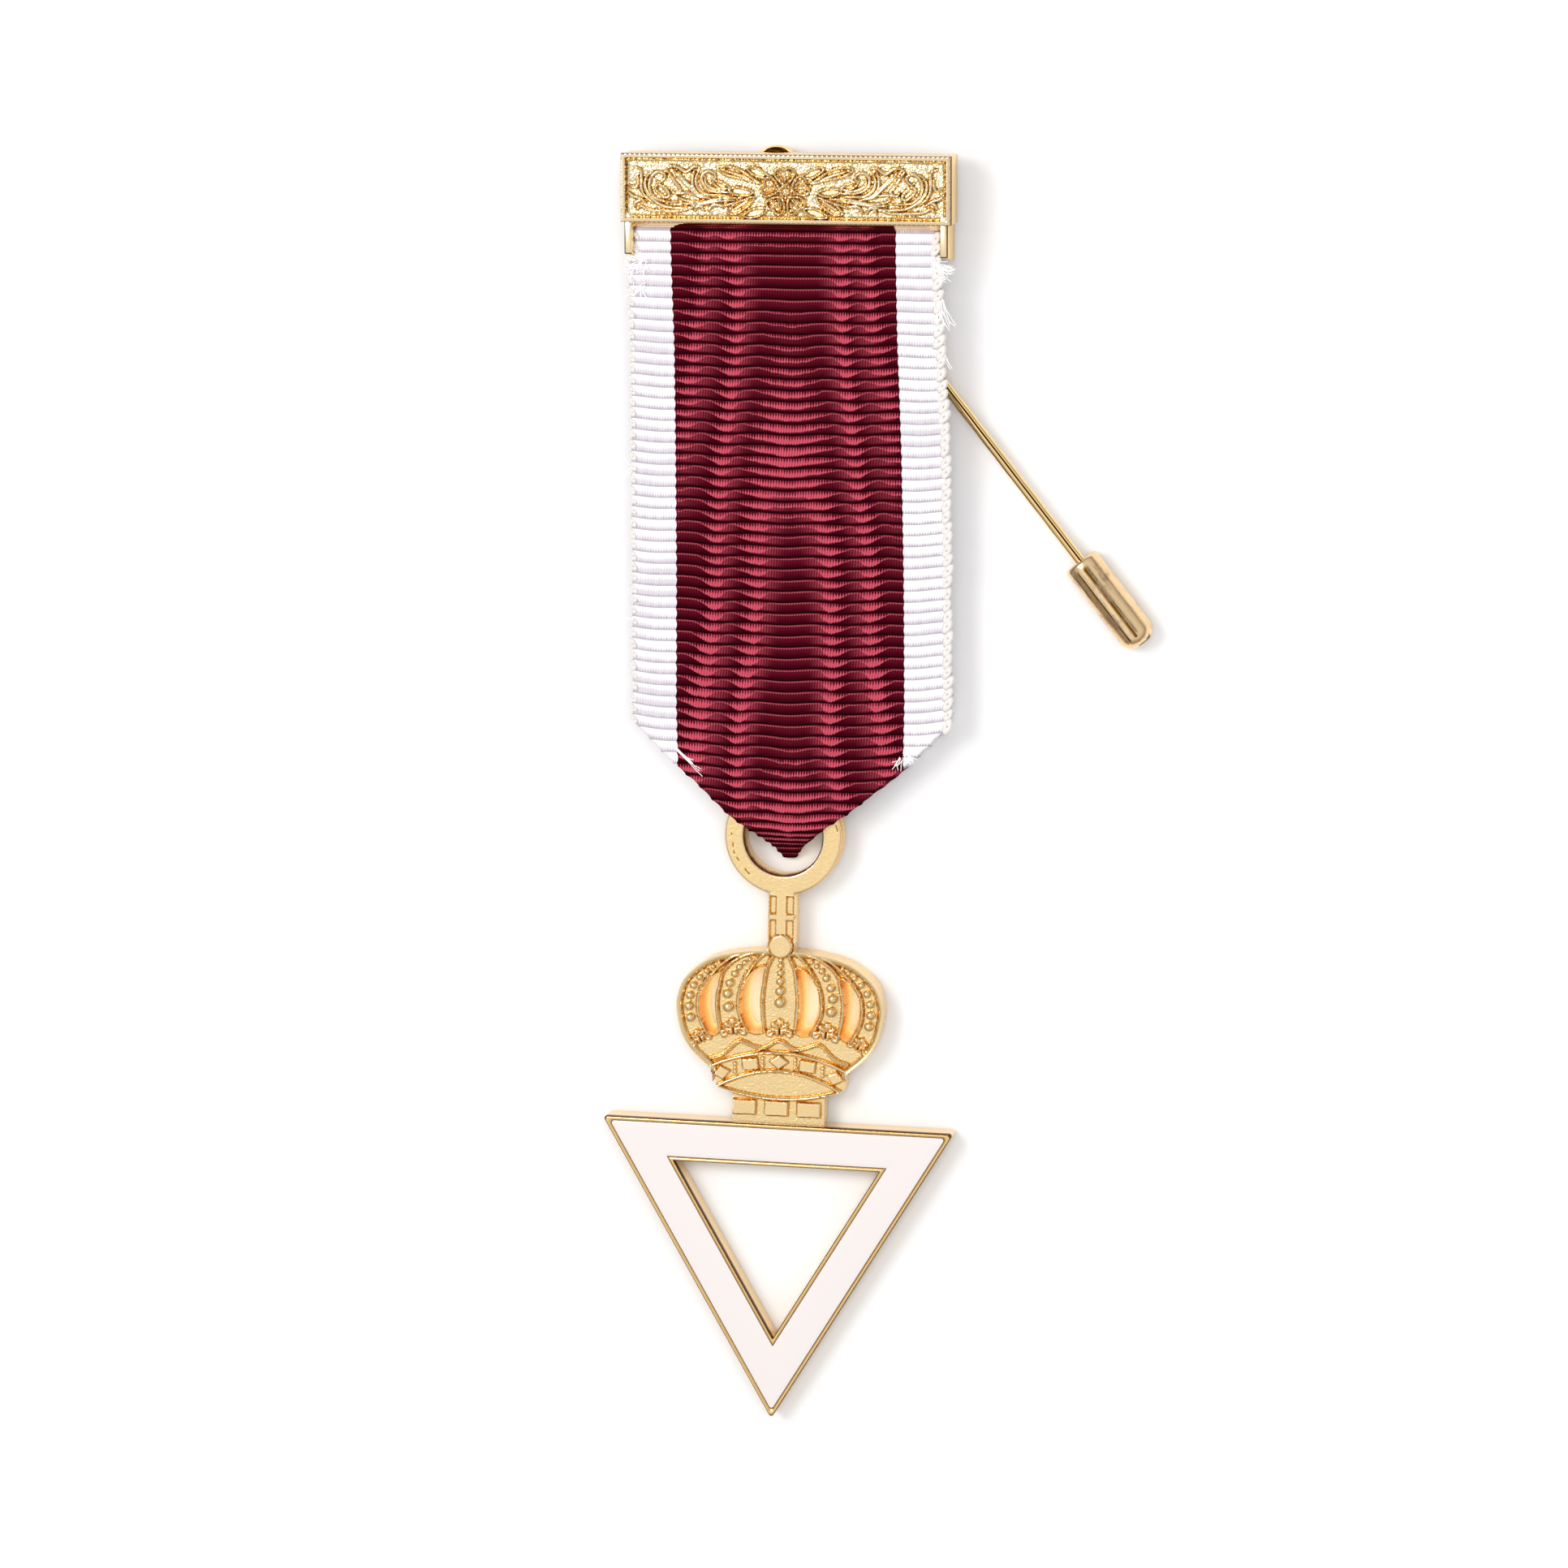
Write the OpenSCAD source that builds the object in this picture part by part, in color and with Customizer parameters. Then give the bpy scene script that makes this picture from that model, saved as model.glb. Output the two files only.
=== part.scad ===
// Collar-style breast jewel lying on its back: a cast bar, a folded ribbon, a crowned triangle
// pendant with enamel, and a swivelling stick pin with its guard.
// The origin is the pin's pivot, on the surface that the jewel lies on. +Y runs up the jewel and +Z up from
// the surface.

/* [Bar] */
// Length of the bar's front plate
bar_w = 33; // [30:0.5:44]
// Height of the front plate
bar_h = 6.8; // [6.2:0.1:10]
// Depth of the bar from its front face to its back edges
bar_depth = 5; // [4.8:0.1:7]
// Thickness of the front plate under its raised border
plate_t = 1.2; // [1:0.05:1.35]
// Thickness of the top wall and of the end walls
wall_t = 0.9; // [0.7:0.05:1.4]
// Width of the raised border round the sunk panel
border_w = 0.45; // [0.3:0.05:0.8]
// Depth of the sunk panel
panel_sink = 0.45; // [0.3:0.05:0.6]
// Height of the scrollwork above the sunk panel
scroll_h = 0.4; // [0.2:0.05:0.5]
// Width of one line of the scrollwork
scroll_line = 0.22; // [0.16:0.02:0.3]
// How far the legs reach below the plate
leg_drop = 3.2; // [2.4:0.1:5]
// Width of a leg
leg_w = 0.8; // [0.6:0.05:1.2]
// How far a leg stands in from the end of the plate
leg_inset = 0.28; // [0.1:0.02:0.5]
// How far a leg's front is set back from the plate's front
leg_set_back = 0.4; // [0.2:0.1:0.8]
// Slant of a leg's end, from its front to its back
leg_slant = 0.6; // [0.2:0.1:1]
// Diameter of the polished lip below the plate
lip_d = 1.0; // [0.8:0.05:1.1]
// Diameter of the rail that the ribbon hangs from
rail_d = 0.9; // [0.7:0.05:0.9]
// Height of the rail above the plate's lower edge
rail_up = 0.8; // [0.7:0.05:1.2]
// Width of the lug that carries the pin's rivet
lug_w = 5.2; // [4.8:0.1:7]
// How far the lug reaches below the pivot
lug_down = 2.5; // [2.2:0.1:3]
// Thickness of the lug
lug_t = 0.8; // [0.6:0.05:0.85]
// Diameter of the lug's boss
boss_d = 3.1; // [2.9:0.1:3.8]

/* [Pin] */
// Diameter of the pin's wire
wire_d = 1.06; // [0.8:0.02:1.3]
// Length of the wire from its pivot to its point
wire_len = 57.5; // [53:0.5:62]
// Length of the wire's tapered point
point_len = 4; // [2:0.5:6]
// Outer diameter of the flattened eye at the pivot
eye_d = 4.4; // [4.2:0.1:5]
// Thickness of the flattened eye
eye_t = 0.96; // [0.8:0.02:1]
// Angle of the pin from straight down
pin_turn = 38.3; // [30:0.1:60]
// Distance from the pivot down from the bar's top edge
pivot_down = 1.6; // [1.5:0.1:2.2]
// Distance from the bar's middle to the pivot
pivot_side = 1.8; // [0:0.1:4]
// Diameter of the rivet's shank
rivet_d = 2.4; // [2:0.1:2.6]
// Diameter of the rivet's heads
rivet_head_d = 4; // [3.8:0.1:4.2]
// Outer diameter of the guard on the pin's point
guard_d = 4.2; // [4:0.1:5]
// Length of the guard
guard_len = 10.9; // [10:0.1:13]
// Depth of the guard's bore
guard_bore = 9; // [8.6:0.1:9.2]
// Depth to which the point stands in the guard
guard_grip = 8.2; // [7:0.1:8.4]

/* [Ribbon] */
// Width of the ribbon
ribbon_w = 32; // [28:0.5:38]
// Thickness of the ribbon's cloth
ribbon_t = 1; // [0.9:0.05:1]
// Length from the rail down to the tip of the fold
ribbon_len = 65.2; // [60:0.1:90]
// Height of the pointed end, from its shoulders to its tip
point_h = 14.3; // [12:0.1:18]
// How far the tip stands to the left of the ribbon's middle
point_side = 0.75; // [0:0.05:1]
// How much wider the back layer of the pointed end is on each side
back_show = 1.3; // [0.8:0.1:1.8]
// Length over which the ribbon widens below the bar's legs
neck_run = 1.8; // [1:0.1:4]

/* [Pendant] */
// Thickness of the pendant at its raised lines
pendant_t = 3; // [2.6:0.1:3.6]
// Depth of the sunk faces between the raised lines
face_sink = 0.55; // [0.3:0.05:0.8]
// How far the back of ring and crown is set in from the triangle's back
back_step = 0.2; // [0.1:0.05:0.3]
// Turn of the pendant about the viewing direction
pendant_turn = -1.35; // [-3:0.05:3]
// Outer diameter of the ring
ring_d = 11.9; // [11:0.1:14]
// Diameter of the ring's hole
ring_hole_d = 8; // [7.6:0.1:9]
// How far the tip of the ribbon's fold hangs below the ring's centre
fold_reach = 2.75; // [2.4:0.05:3]
// Distance that the ring's centre stands left of the ribbon's middle
ring_side = 0.9; // [0:0.05:1.5]
// Width of the stem between ring and crown
stem_w = 2.7; // [2.2:0.1:4]
// Height of the stem between ring and crown
stem_h = 6; // [5:0.1:9]
// Width of the lines of the cross on the stem
cross_line = 0.8; // [0.5:0.05:1]
// Diameter of the orb on the crown
orb_d = 2.1; // [1.8:0.1:2.6]
// How far the orb and the beads stand above the raised lines
bead_proud = 0.15; // [0.05:0.05:0.3]
// Widest width of the crown
crown_w = 21; // [18:0.5:26]
// Height of the crown's arches above its band
dome_h = 12.2; // [10:0.1:15]
// Height of the crown's band at its ends
band_h = 2; // [1.6:0.1:3]
// Width of the crown's band
band_w = 13.6; // [12:0.1:17]
// Width of the crown's raised lines
rib_w = 0.36; // [0.25:0.02:0.5]
// Diameter of the largest bead on the arches
bead_d = 1; // [0.7:0.05:1.2]
// Diameter of the small pearls on the band
pearl_d = 0.5; // [0.4:0.05:0.6]
// Width of a stone on the band
gem_w = 1.6; // [1.3:0.1:1.9]
// Width of a lobe on the arches' leafy feet
lobe_d = 0.9; // [0.7:0.05:1.1]
// Width of the block between crown and triangle
block_w = 9.4; // [8:0.1:12]
// Width of a brick on the block
brick_w = 2.4; // [1.8:0.1:3]
// Height of a brick on the block
brick_h = 1.4; // [1:0.1:1.8]
// Height of the block that shows below the band's ends
block_h = 3.5; // [3.4:0.1:5]
// Length of the triangle's top side
triangle_w = 35.9; // [32:0.1:45]
// Height of the triangle
triangle_h = 30.35; // [28:0.05:40]
// Width of the triangle's band from its outer edge to the inner line's far edge
triangle_band = 4.25; // [3.6:0.05:5]
// Width of the gold line round the enamel
line_w = 0.4; // [0.3:0.02:0.6]
// How far the enamel lies below the gold lines
enamel_sink = 0.08; // [0.02:0.02:0.2]
// Depth of the enamel's tray below the gold lines
tray_sink = 0.6; // [0.4:0.05:0.8]

/* [Fits] */
// Gap between pieces that lie on each other
lay_gap = 0.1; // [0.05:0.01:0.12]
// Radial gap between the rivet and what it passes through
rivet_gap = 0.05; // [0.03:0.01:0.08]
// Radial gap between the wire and the guard's bore
bore_gap = 0.05; // [0.03:0.01:0.08]
// Gap between the swinging wire and the bar above it
swing_gap = 0.32; // [0.2:0.02:0.5]
// Gap round the enamel in its tray
enamel_gap = 0.03; // [0.02:0.01:0.05]

/* [Hidden] */
$fn = 48;

eps = 0.01;
through = 0.5;

// Heights above the surface.
wire_z = guard_d / 2;
bar_back_z = wire_z + wire_d / 2 + swing_gap;
bar_front_z = bar_back_z + bar_depth;
plate_back_z = bar_front_z - plate_t;
boss_t = 0.78 * swing_gap;
lug_top_z = bar_back_z + lug_t;
rivet_sink = rivet_d / 12;
lip_z = plate_back_z + 0.45 * lip_d;

// Places of the bar's pieces.
bar_x = pivot_side;
bar_top_y = pivot_down;
bar_low_y = bar_top_y - bar_h;
rail_y = bar_low_y + rail_up;
panel_w = bar_w - 2 * border_w;
panel_h = bar_h - 2 * border_w;
leg_out_x = bar_w / 2 - leg_inset;
leg_in_x = leg_out_x - leg_w;

// The ribbon's heights: the front layer passes behind the lip and over the ring, the back layer under both.
front_top_z = lip_z - lip_d / 2 - lay_gap - ribbon_t;
rail_gap = 0.8 * lay_gap;
back_top_z = front_top_z - rail_d - 2 * rail_gap - ribbon_t;
rail_z = (front_top_z + back_top_z + ribbon_t) / 2;
tip_y = rail_y - ribbon_len;
shoulder_y = tip_y + point_h;
neck_y = bar_low_y - leg_drop - leg_slant;
neck_half = leg_in_x - lay_gap;

// The pendant hangs by its ring on the fold and rises from its lowest corner to the ring.
ring_x = bar_x - ring_side;
ring_y = tip_y + fold_reach;
ring_sink = 0.15;
crown_top = ring_sink - ring_d / 2 - stem_h;
dome_low = crown_top - dome_h;
band_low = dome_low - band_h;
triangle_top = dome_low - band_h - block_h;
apex_drop = triangle_h - triangle_top;
pendant_tilt = asin((ribbon_t + lay_gap - back_step) / (apex_drop - fold_reach));
pendant_z = apex_drop * cos(pendant_turn) * sin(pendant_tilt);
face_z = pendant_t - face_sink;
inner_r = triangle_w * triangle_h / (triangle_w + 2 * norm([triangle_w / 2, triangle_h]));

// The bows of the crown's band: its top line and the two lines of the leaf under it.
band_rise = 0.235 * band_w / 2;
lens_rise = 0.272 * band_w / 2;
lens_sag = 0.147 * band_w / 2;
lens_half = 0.93 * band_w / 2;
lens_y = band_low + 0.075 * band_h;
band_line_y = dome_low + 0.15 * band_h;
over_z = pendant_z + pendant_t + ring_d / 2 * sin(pendant_tilt) + lay_gap;

// A smooth curve through points, with a few steps between each pair.
function curve_point(a, b, c, d, t) =
    0.5 * (2 * b + (c - a) * t + (2 * a - 5 * b + 4 * c - d) * t * t + (3 * b - a - 3 * c + d) * t * t * t);
function curve(p, steps = 2) = concat(
    [for (i = [0 : len(p) - 2], k = [0 : steps - 1])
        curve_point(p[max(i - 1, 0)], p[i], p[i + 1], p[min(i + 2, len(p) - 1)], k / steps)],
    [p[len(p) - 1]]);
function loop_curve(p, steps = 2) =
    [for (i = [0 : len(p) - 1], k = [0 : steps - 1])
        curve_point(p[(i + len(p) - 1) % len(p)], p[i], p[(i + 1) % len(p)], p[(i + 2) % len(p)], k / steps)];
function shares(p, half_w, h) = [for (q = p) [q[0] * half_w, q[1] * h]];
function across(p, i) =
    let (d = p[min(i + 1, len(p) - 1)] - p[max(i - 1, 0)])
    [-d[1], d[0]] / norm(d);
function beside(p, w) = [for (i = [0 : len(p) - 1]) p[i] + across(p, i) * w];
function reversed(p) = [for (i = [len(p) - 1 : -1 : 0]) p[i]];
function arc(c, r, from, to, steps = 12) =
    [for (i = [0 : steps]) c + r * [cos(from + (to - from) * i / steps), sin(from + (to - from) * i / steps)]];

// One raised line of even width along a path.
module line(path, w) {
    polygon(concat(beside(path, w / 2), reversed(beside(path, -w / 2))));
}

// The raised outline of a closed shape.
module outline(path, w) {
    difference() {
        polygon(path);
        offset(delta = -w) polygon(path);
    }
}

module both_sides() {
    children();
    mirror([1, 0]) children();
}

// Scrollwork of one half of the panel, from the middle out.
// Columns: [share of the panel's half width, share of its half height].
SCROLL_LINES = [
    [[0.60, -0.51], [0.69, -0.59], [0.785, -0.51], [0.843, -0.24], [0.868, 0.11], [0.857, 0.39],
        [0.82, 0.56], [0.78, 0.49], [0.77, 0.32], [0.796, 0.22]],
    [[0.565, -0.69], [0.69, -0.75], [0.807, -0.69], [0.88, -0.52], [0.907, -0.13], [0.912, 0.27],
        [0.886, 0.53], [0.915, 0.72], [0.948, 0.74]],
    [[0.973, 0.09], [0.95, 0.0], [0.973, -0.21], [0.94, -0.37], [0.90, -0.48]],
    [[0.95, -0.8], [0.93, -0.66], [0.88, -0.60]],
    [[0.35, -0.13], [0.424, -0.10], [0.489, 0.07], [0.525, 0.32], [0.514, 0.56], [0.478, 0.64],
        [0.453, 0.52], [0.46, 0.37], [0.481, 0.36]],
    [[0.33, -0.28], [0.424, -0.36], [0.518, -0.31], [0.561, -0.09], [0.586, 0.18], [0.568, 0.42],
        [0.536, 0.70]],
    [[0.525, 0.84], [0.575, 0.79], [0.626, 0.61], [0.662, 0.74], [0.713, 0.76], [0.756, 0.68]],
    [[0.69, 0.58], [0.633, 0.25], [0.58, -0.02]],
    [[0.742, 0.56], [0.70, 0.21], [0.66, 0.04], [0.70, -0.09], [0.67, -0.22], [0.604, -0.25]],
    [[0.648, -0.33], [0.575, -0.45], [0.481, -0.46], [0.387, -0.38]],
    [[0.561, -0.86], [0.555, -0.65], [0.525, -0.57], [0.50, -0.66]],
    [[0.47, -0.84], [0.467, -0.64], [0.43, -0.53], [0.37, -0.56]],
    [[0.35, 0.58], [0.265, 0.41], [0.19, 0.27]],
    [[0.335, -0.70], [0.27, -0.55], [0.21, -0.41]]];
SCROLL_LEAVES = [
    [[0.165, 0.26], [0.228, 0.47], [0.30, 0.72], [0.402, 0.80], [0.385, 0.53], [0.30, 0.30], [0.20, 0.16]],
    [[0.10, 0.50], [0.134, 0.72], [0.20, 0.86], [0.27, 0.84], [0.215, 0.62], [0.16, 0.42]],
    [[0.19, 0.03], [0.26, 0.11], [0.344, -0.01], [0.27, -0.14], [0.20, -0.10]],
    [[0.17, -0.29], [0.26, -0.30], [0.33, -0.55], [0.375, -0.86], [0.29, -0.82], [0.21, -0.57]],
    [[0.11, -0.62], [0.19, -0.64], [0.27, -0.90], [0.20, -0.94], [0.13, -0.82]]];
ROSETTE_PETALS = 5;
rosette_r = 0.8 * panel_h / 2;
petal_w = 0.7 * rosette_r;

module petal() {
    heart = [[0.30, 0], [0.52, 0.32], [0.82, 0.46], [1.0, 0.24], [0.94, 0], [1.0, -0.24], [0.82, -0.46],
        [0.52, -0.32]];
    outline(loop_curve(shares(heart, rosette_r, petal_w * 1.3)), scroll_line);
}

module scrollwork() {
    both_sides() {
        for (path = SCROLL_LINES)
            line(curve(shares(path, panel_w / 2, panel_h / 2)), scroll_line);
        for (path = SCROLL_LEAVES)
            outline(loop_curve(shares(path, panel_w / 2, panel_h / 2)), scroll_line);
    }
    for (i = [0 : ROSETTE_PETALS - 1])
        rotate(90 + i * 360 / ROSETTE_PETALS) petal();
    difference() {
        circle(r = 0.26 * rosette_r, $fn = 20);
        circle(r = 0.26 * rosette_r - scroll_line, $fn = 20);
    }
    circle(r = 0.11 * rosette_r, $fn = 12);
}

module bar_leg() {
    leg_side = [
        [bar_low_y + wall_t, bar_back_z],
        [bar_low_y - leg_drop - leg_slant, bar_back_z],
        [bar_low_y - leg_drop, bar_front_z - leg_set_back],
        [bar_low_y + wall_t, bar_front_z - leg_set_back]];
    translate([leg_in_x, 0, 0])
        rotate([90, 0, 90])
            linear_extrude(height = leg_w) polygon(leg_side);
}

module bar() {
    color("gold") difference() {
        union() {
            translate([bar_x, 0, 0]) {
                translate([-bar_w / 2, bar_low_y, plate_back_z]) difference() {
                    cube([bar_w, bar_h, plate_t]);
                    translate([border_w, border_w, plate_t - panel_sink])
                        cube([panel_w, panel_h, plate_t]);
                }
                translate([0, bar_low_y + bar_h / 2, bar_front_z - panel_sink - eps])
                    linear_extrude(height = scroll_h + eps)
                        offset(delta = eps) intersection() {
                            square([panel_w - 10 * eps, panel_h - 10 * eps], center = true);
                            scrollwork();
                        }
                translate([-bar_w / 2, bar_top_y - wall_t, bar_back_z])
                    cube([bar_w, wall_t, bar_depth - panel_sink]);
                for (side = [0, 1]) mirror([side, 0, 0]) {
                    translate([bar_w / 2 - wall_t, bar_low_y, bar_back_z])
                        cube([wall_t, bar_h, bar_depth - panel_sink]);
                    bar_leg();
                }
                for (rod = [[rail_y, rail_z, rail_d], [bar_low_y - 5 * eps, lip_z, lip_d]])
                    translate([-leg_in_x - eps, rod[0], rod[1]])
                        rotate([0, 90, 0]) cylinder(d = rod[2], h = 2 * (leg_in_x + eps));
            }
            translate([-lug_w / 2, -lug_down, bar_back_z])
                cube([lug_w, lug_down + bar_top_y - wall_t / 2, lug_t]);
            translate([0, 0, bar_back_z - boss_t])
                cylinder(d = boss_d, h = boss_t + lug_t / 2);
        }
        rivet_hole();
    }
}

// The rivet's hole through boss and lug, sunk at its upper end for the rivet's head.
module rivet_hole() {
    hole_r = rivet_d / 2 + rivet_gap;
    rotate_extrude() polygon([
        [0, bar_back_z - boss_t - through], [hole_r, bar_back_z - boss_t - through],
        [hole_r, lug_top_z - rivet_sink], [hole_r + rivet_sink, lug_top_z],
        [hole_r + rivet_sink, lug_top_z + lay_gap], [0, lug_top_z + lay_gap]]);
}

module pin_rivet() {
    head_top = wire_z - eye_t / 2 - lay_gap;
    head_r = rivet_head_d / 2;
    bevel = rivet_head_d / 10;
    shank_r = rivet_d / 2;
    color("goldenrod") rotate_extrude() polygon([
        [0, 0], [head_r - bevel, 0], [head_r, bevel], [head_r, head_top], [shank_r, head_top],
        [shank_r, lug_top_z - rivet_sink], [shank_r + rivet_sink, lug_top_z], [0, lug_top_z]]);
}

module pin() {
    hole_r = rivet_d / 2 + rivet_gap;
    rim = eye_d / 2 - hole_r;
    grip_r = hole_r + rim / 2;
    color("goldenrod") {
        difference() {
            union() {
                translate([0, 0, wire_z - eye_t / 2]) cylinder(d = eye_d, h = eye_t);
                along_pin(grip_r) cylinder(d = wire_d, h = wire_len - point_len - grip_r);
                along_pin(wire_len - point_len)
                    cylinder(r1 = wire_d / 2, r2 = wire_d / 12, h = point_len);
            }
            translate([0, 0, wire_z - eye_t / 2 - through])
                cylinder(r = hole_r, h = eye_t + 2 * through);
            translate([0, 0, wire_z + eye_t / 5])
                rotate_extrude() translate([hole_r + 0.44 * rim, 0]) square([0.27 * rim, eye_t]);
        }
    }
}

// Places children on the pin's axis, pointing from the pivot to the point.
module along_pin(from) {
    translate([0, 0, wire_z])
        rotate([0, 0, pin_turn - 90])
            translate([from, 0, 0]) rotate([0, 90, 0]) children();
}

module pin_guard() {
    guard_r = guard_d / 2;
    edge_r = 0.07 * guard_d;
    nose_r = 0.36 * guard_d;
    flare = 0.06 * guard_d;
    bore_r = wire_d / 2 + bore_gap;
    profile = concat(
        [[0, guard_bore], [bore_r, guard_bore], [bore_r, flare], [bore_r + flare, 0]],
        arc([guard_r - edge_r, edge_r], edge_r, -90, 0, 4),
        arc([guard_r - nose_r, guard_len - nose_r], nose_r, 0, 90, 8),
        [[0, guard_len]]);
    color("darkgoldenrod") along_pin(wire_len - guard_grip) rotate_extrude() polygon(profile);
}

// Heights of the ribbon's two layers, from the rail down to the tip.
// Columns: [share of the ribbon's length, share of the fall from the bar's height to the pendant's].
FRONT_FALL = [[0, 0], [0.12, 0.03], [0.35, 0.46], [0.62, 0.88], [0.84, 1], [0.94, 1]];
BACK_FALL = [[0, 0], [0.3, 0.06], [0.56, 0.12], [0.64, 0.3], [0.72, 0.72], [0.8, 1], [0.99, 1]];
// The front layer's dip through the ring. Columns: [height above the tip in cloth thicknesses, share of the dip].
TIP_DIP = [[2.6, 0.35], [1.2, 0.75]];
// The pointed end. Columns: [share of its height from the shoulder, share of the ribbon's half width].
POINT_EDGE = [[0, 1], [0.24, 0.755], [0.5, 0.47], [0.68, 0.275], [0.86, 0.12], [0.97, 0.055], [1, 0.02]];

function layer_path(table, top_z, low_z) =
    curve([for (row = table) [rail_y - row[0] * ribbon_len, top_z + row[1] * (low_z - top_z)]], 3);

module ribbon_loop() {
    half_t = ribbon_t / 2;
    loop_r = (front_top_z - back_top_z) / 2;
    front = layer_path(FRONT_FALL, front_top_z + half_t, over_z + half_t);
    back = [for (q = layer_path(BACK_FALL, back_top_z + half_t, half_t)) [q[0], max(q[1], half_t)]];
    last = front[len(front) - 1];
    fold = [tip_y + half_t, half_t];
    dip = [for (row = TIP_DIP) [tip_y + row[0] * ribbon_t, last[1] - row[1] * (last[1] - half_t)]];
    rotate([90, 0, 90]) linear_extrude(height = 2 * ribbon_w, center = true) offset(delta = eps / 5) {
        line(concat(reversed(back), arc([rail_y, rail_z], loop_r, -75, 75, 10), front), ribbon_t);
        line(concat([front[len(front) - 3], last], dip, [fold]), ribbon_t);
        translate(fold) circle(d = ribbon_t, $fn = 24);
    }
}

module ribbon_outline(extra) {
    edge = curve(POINT_EDGE, 3);
    function widen(s) = extra * sin(180 * min(s * 1.05, 1));
    right = concat(
        [[neck_half, rail_y + ribbon_len], [neck_half, neck_y], [ribbon_w / 2, neck_y - neck_run]],
        [for (e = edge)
            [e[1] * ribbon_w / 2 + widen(e[0]) - point_side * e[0], shoulder_y - e[0] * point_h]]);
    left = [for (p = right) [-p[0] - 2 * point_side * max(0, shoulder_y - p[1]) / point_h, p[1]]];
    polygon(concat(right, reversed(left)));
}

module ribbon() {
    split_z = (over_z + ribbon_t) / 2;
    color("darkred") translate([bar_x, 0, 0]) difference() {
        intersection() {
            ribbon_loop();
            translate([0, 0, -through]) linear_extrude(height = bar_front_z + through)
                ribbon_outline(back_show);
        }
        translate([0, 0, split_z]) linear_extrude(height = bar_front_z) difference() {
            translate([-ribbon_w, tip_y - ribbon_t]) square([2 * ribbon_w, point_h + ribbon_t]);
            ribbon_outline(0);
        }
    }
}

// The right half of the crown's arched top, from its middle to the band.
// Columns: [share of the crown's half width, share of the arches' height].
DOME_EDGE = [[0, 1.01], [0.2, 1.005], [0.404, 0.985], [0.646, 0.932], [0.81, 0.845], [0.933, 0.735],
    [0.99, 0.607], [1.0, 0.49], [0.952, 0.295], [0.85, 0.148], [0.66, 0]];
// The pierced openings of the right half, with the same columns.
OPENINGS = [
    [[0.154, 0.87], [0.255, 0.83], [0.344, 0.733], [0.387, 0.61], [0.378, 0.47], [0.29, 0.325],
        [0.168, 0.325], [0.182, 0.45], [0.194, 0.60], [0.172, 0.755]],
    [[0.585, 0.80], [0.685, 0.748], [0.757, 0.655], [0.783, 0.54], [0.762, 0.418], [0.68, 0.285],
        [0.596, 0.315], [0.62, 0.443], [0.63, 0.582], [0.605, 0.705]]];
// The raised edges of the arches, with the same columns.
RIBS = [
    [[0.09, 0.967], [0.135, 0.87], [0.155, 0.75], [0.175, 0.60], [0.165, 0.45], [0.15, 0.33]],
    [[0.18, 0.96], [0.275, 0.86], [0.36, 0.745], [0.404, 0.61], [0.395, 0.465], [0.305, 0.32]],
    [[0.345, 0.965], [0.48, 0.89], [0.565, 0.80], [0.588, 0.70], [0.613, 0.582], [0.603, 0.443], [0.575, 0.31]],
    [[0.47, 0.95], [0.61, 0.845], [0.705, 0.755], [0.775, 0.66], [0.80, 0.54], [0.78, 0.415], [0.695, 0.27]],
    [[0, 0.25], [0.155, 0.19], [0.29, 0.20], [0.42, 0.228], [0.48, 0.14], [0.56, 0.085], [0.66, 0.055]]];
// The rows of beads on the middle, inner and outer arches. Columns: [share of the crown's half width,
// share of the arches' height, share of the largest bead].
BEADS = [
    [0, 0.917, 0.55], [0, 0.848, 0.7], [0, 0.765, 0.8], [0, 0.675, 0.9], [0, 0.578, 1],
    [0.33, 0.908, 0.45], [0.394, 0.865, 0.6], [0.443, 0.806, 0.7], [0.49, 0.72, 0.8], [0.512, 0.63, 0.9],
    [0.5, 0.52, 1],
    [0.70, 0.83, 0.5], [0.78, 0.765, 0.6], [0.843, 0.69, 0.7], [0.882, 0.6, 0.8], [0.888, 0.51, 0.85],
    [0.872, 0.41, 0.9]];
// The leafy feet of the arches. Columns: [share of the crown's half width, share of the arches' height, turn].
FEET = [[0, 0.35, 0], [0.45, 0.34, -8], [0.785, 0.245, -28]];
// The lobes of a foot. Columns: [lobes to the side, lobes up, share of a lobe's width].
FOOT_LOBES = [[0, 0.85, 0.94], [0.9, 0.28, 0.94], [-0.9, 0.28, 0.94], [0.5, -0.5, 1.1], [-0.5, -0.5, 1.1]];
// The jewels set along the band. Columns: [share of the band's half width, kind].
GEMS = [[0, "diamond"], [0.43, "table"], [0.855, "diamond"]];
PEARLS = [0.247, 0.66];

// A bow over a chord, as a share of its half length.
function bow(half, rise, y) = [for (s = [-1 : 0.125 : 1]) [s * half, y + rise * (1 - s * s)]];
function bow_y(s, rise, y) = y + rise * (1 - s * s);
function dome_shape(p) = [for (q = p) [q[0] * crown_w / 2, dome_low + q[1] * dome_h]];

module crown_outline() {
    both_sides() polygon(concat(curve(dome_shape(DOME_EDGE), 3), [[0, dome_low]]));
    polygon(concat(bow(lens_half, -lens_sag, lens_y), [
        [band_w / 2, band_low + band_h / 4], [band_w / 2, dome_low + band_h / 10],
        [-band_w / 2, dome_low + band_h / 10], [-band_w / 2, band_low + band_h / 4]]));
}

module crown_openings() {
    both_sides() for (path = OPENINGS) polygon(loop_curve(dome_shape(path), 3));
}

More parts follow.
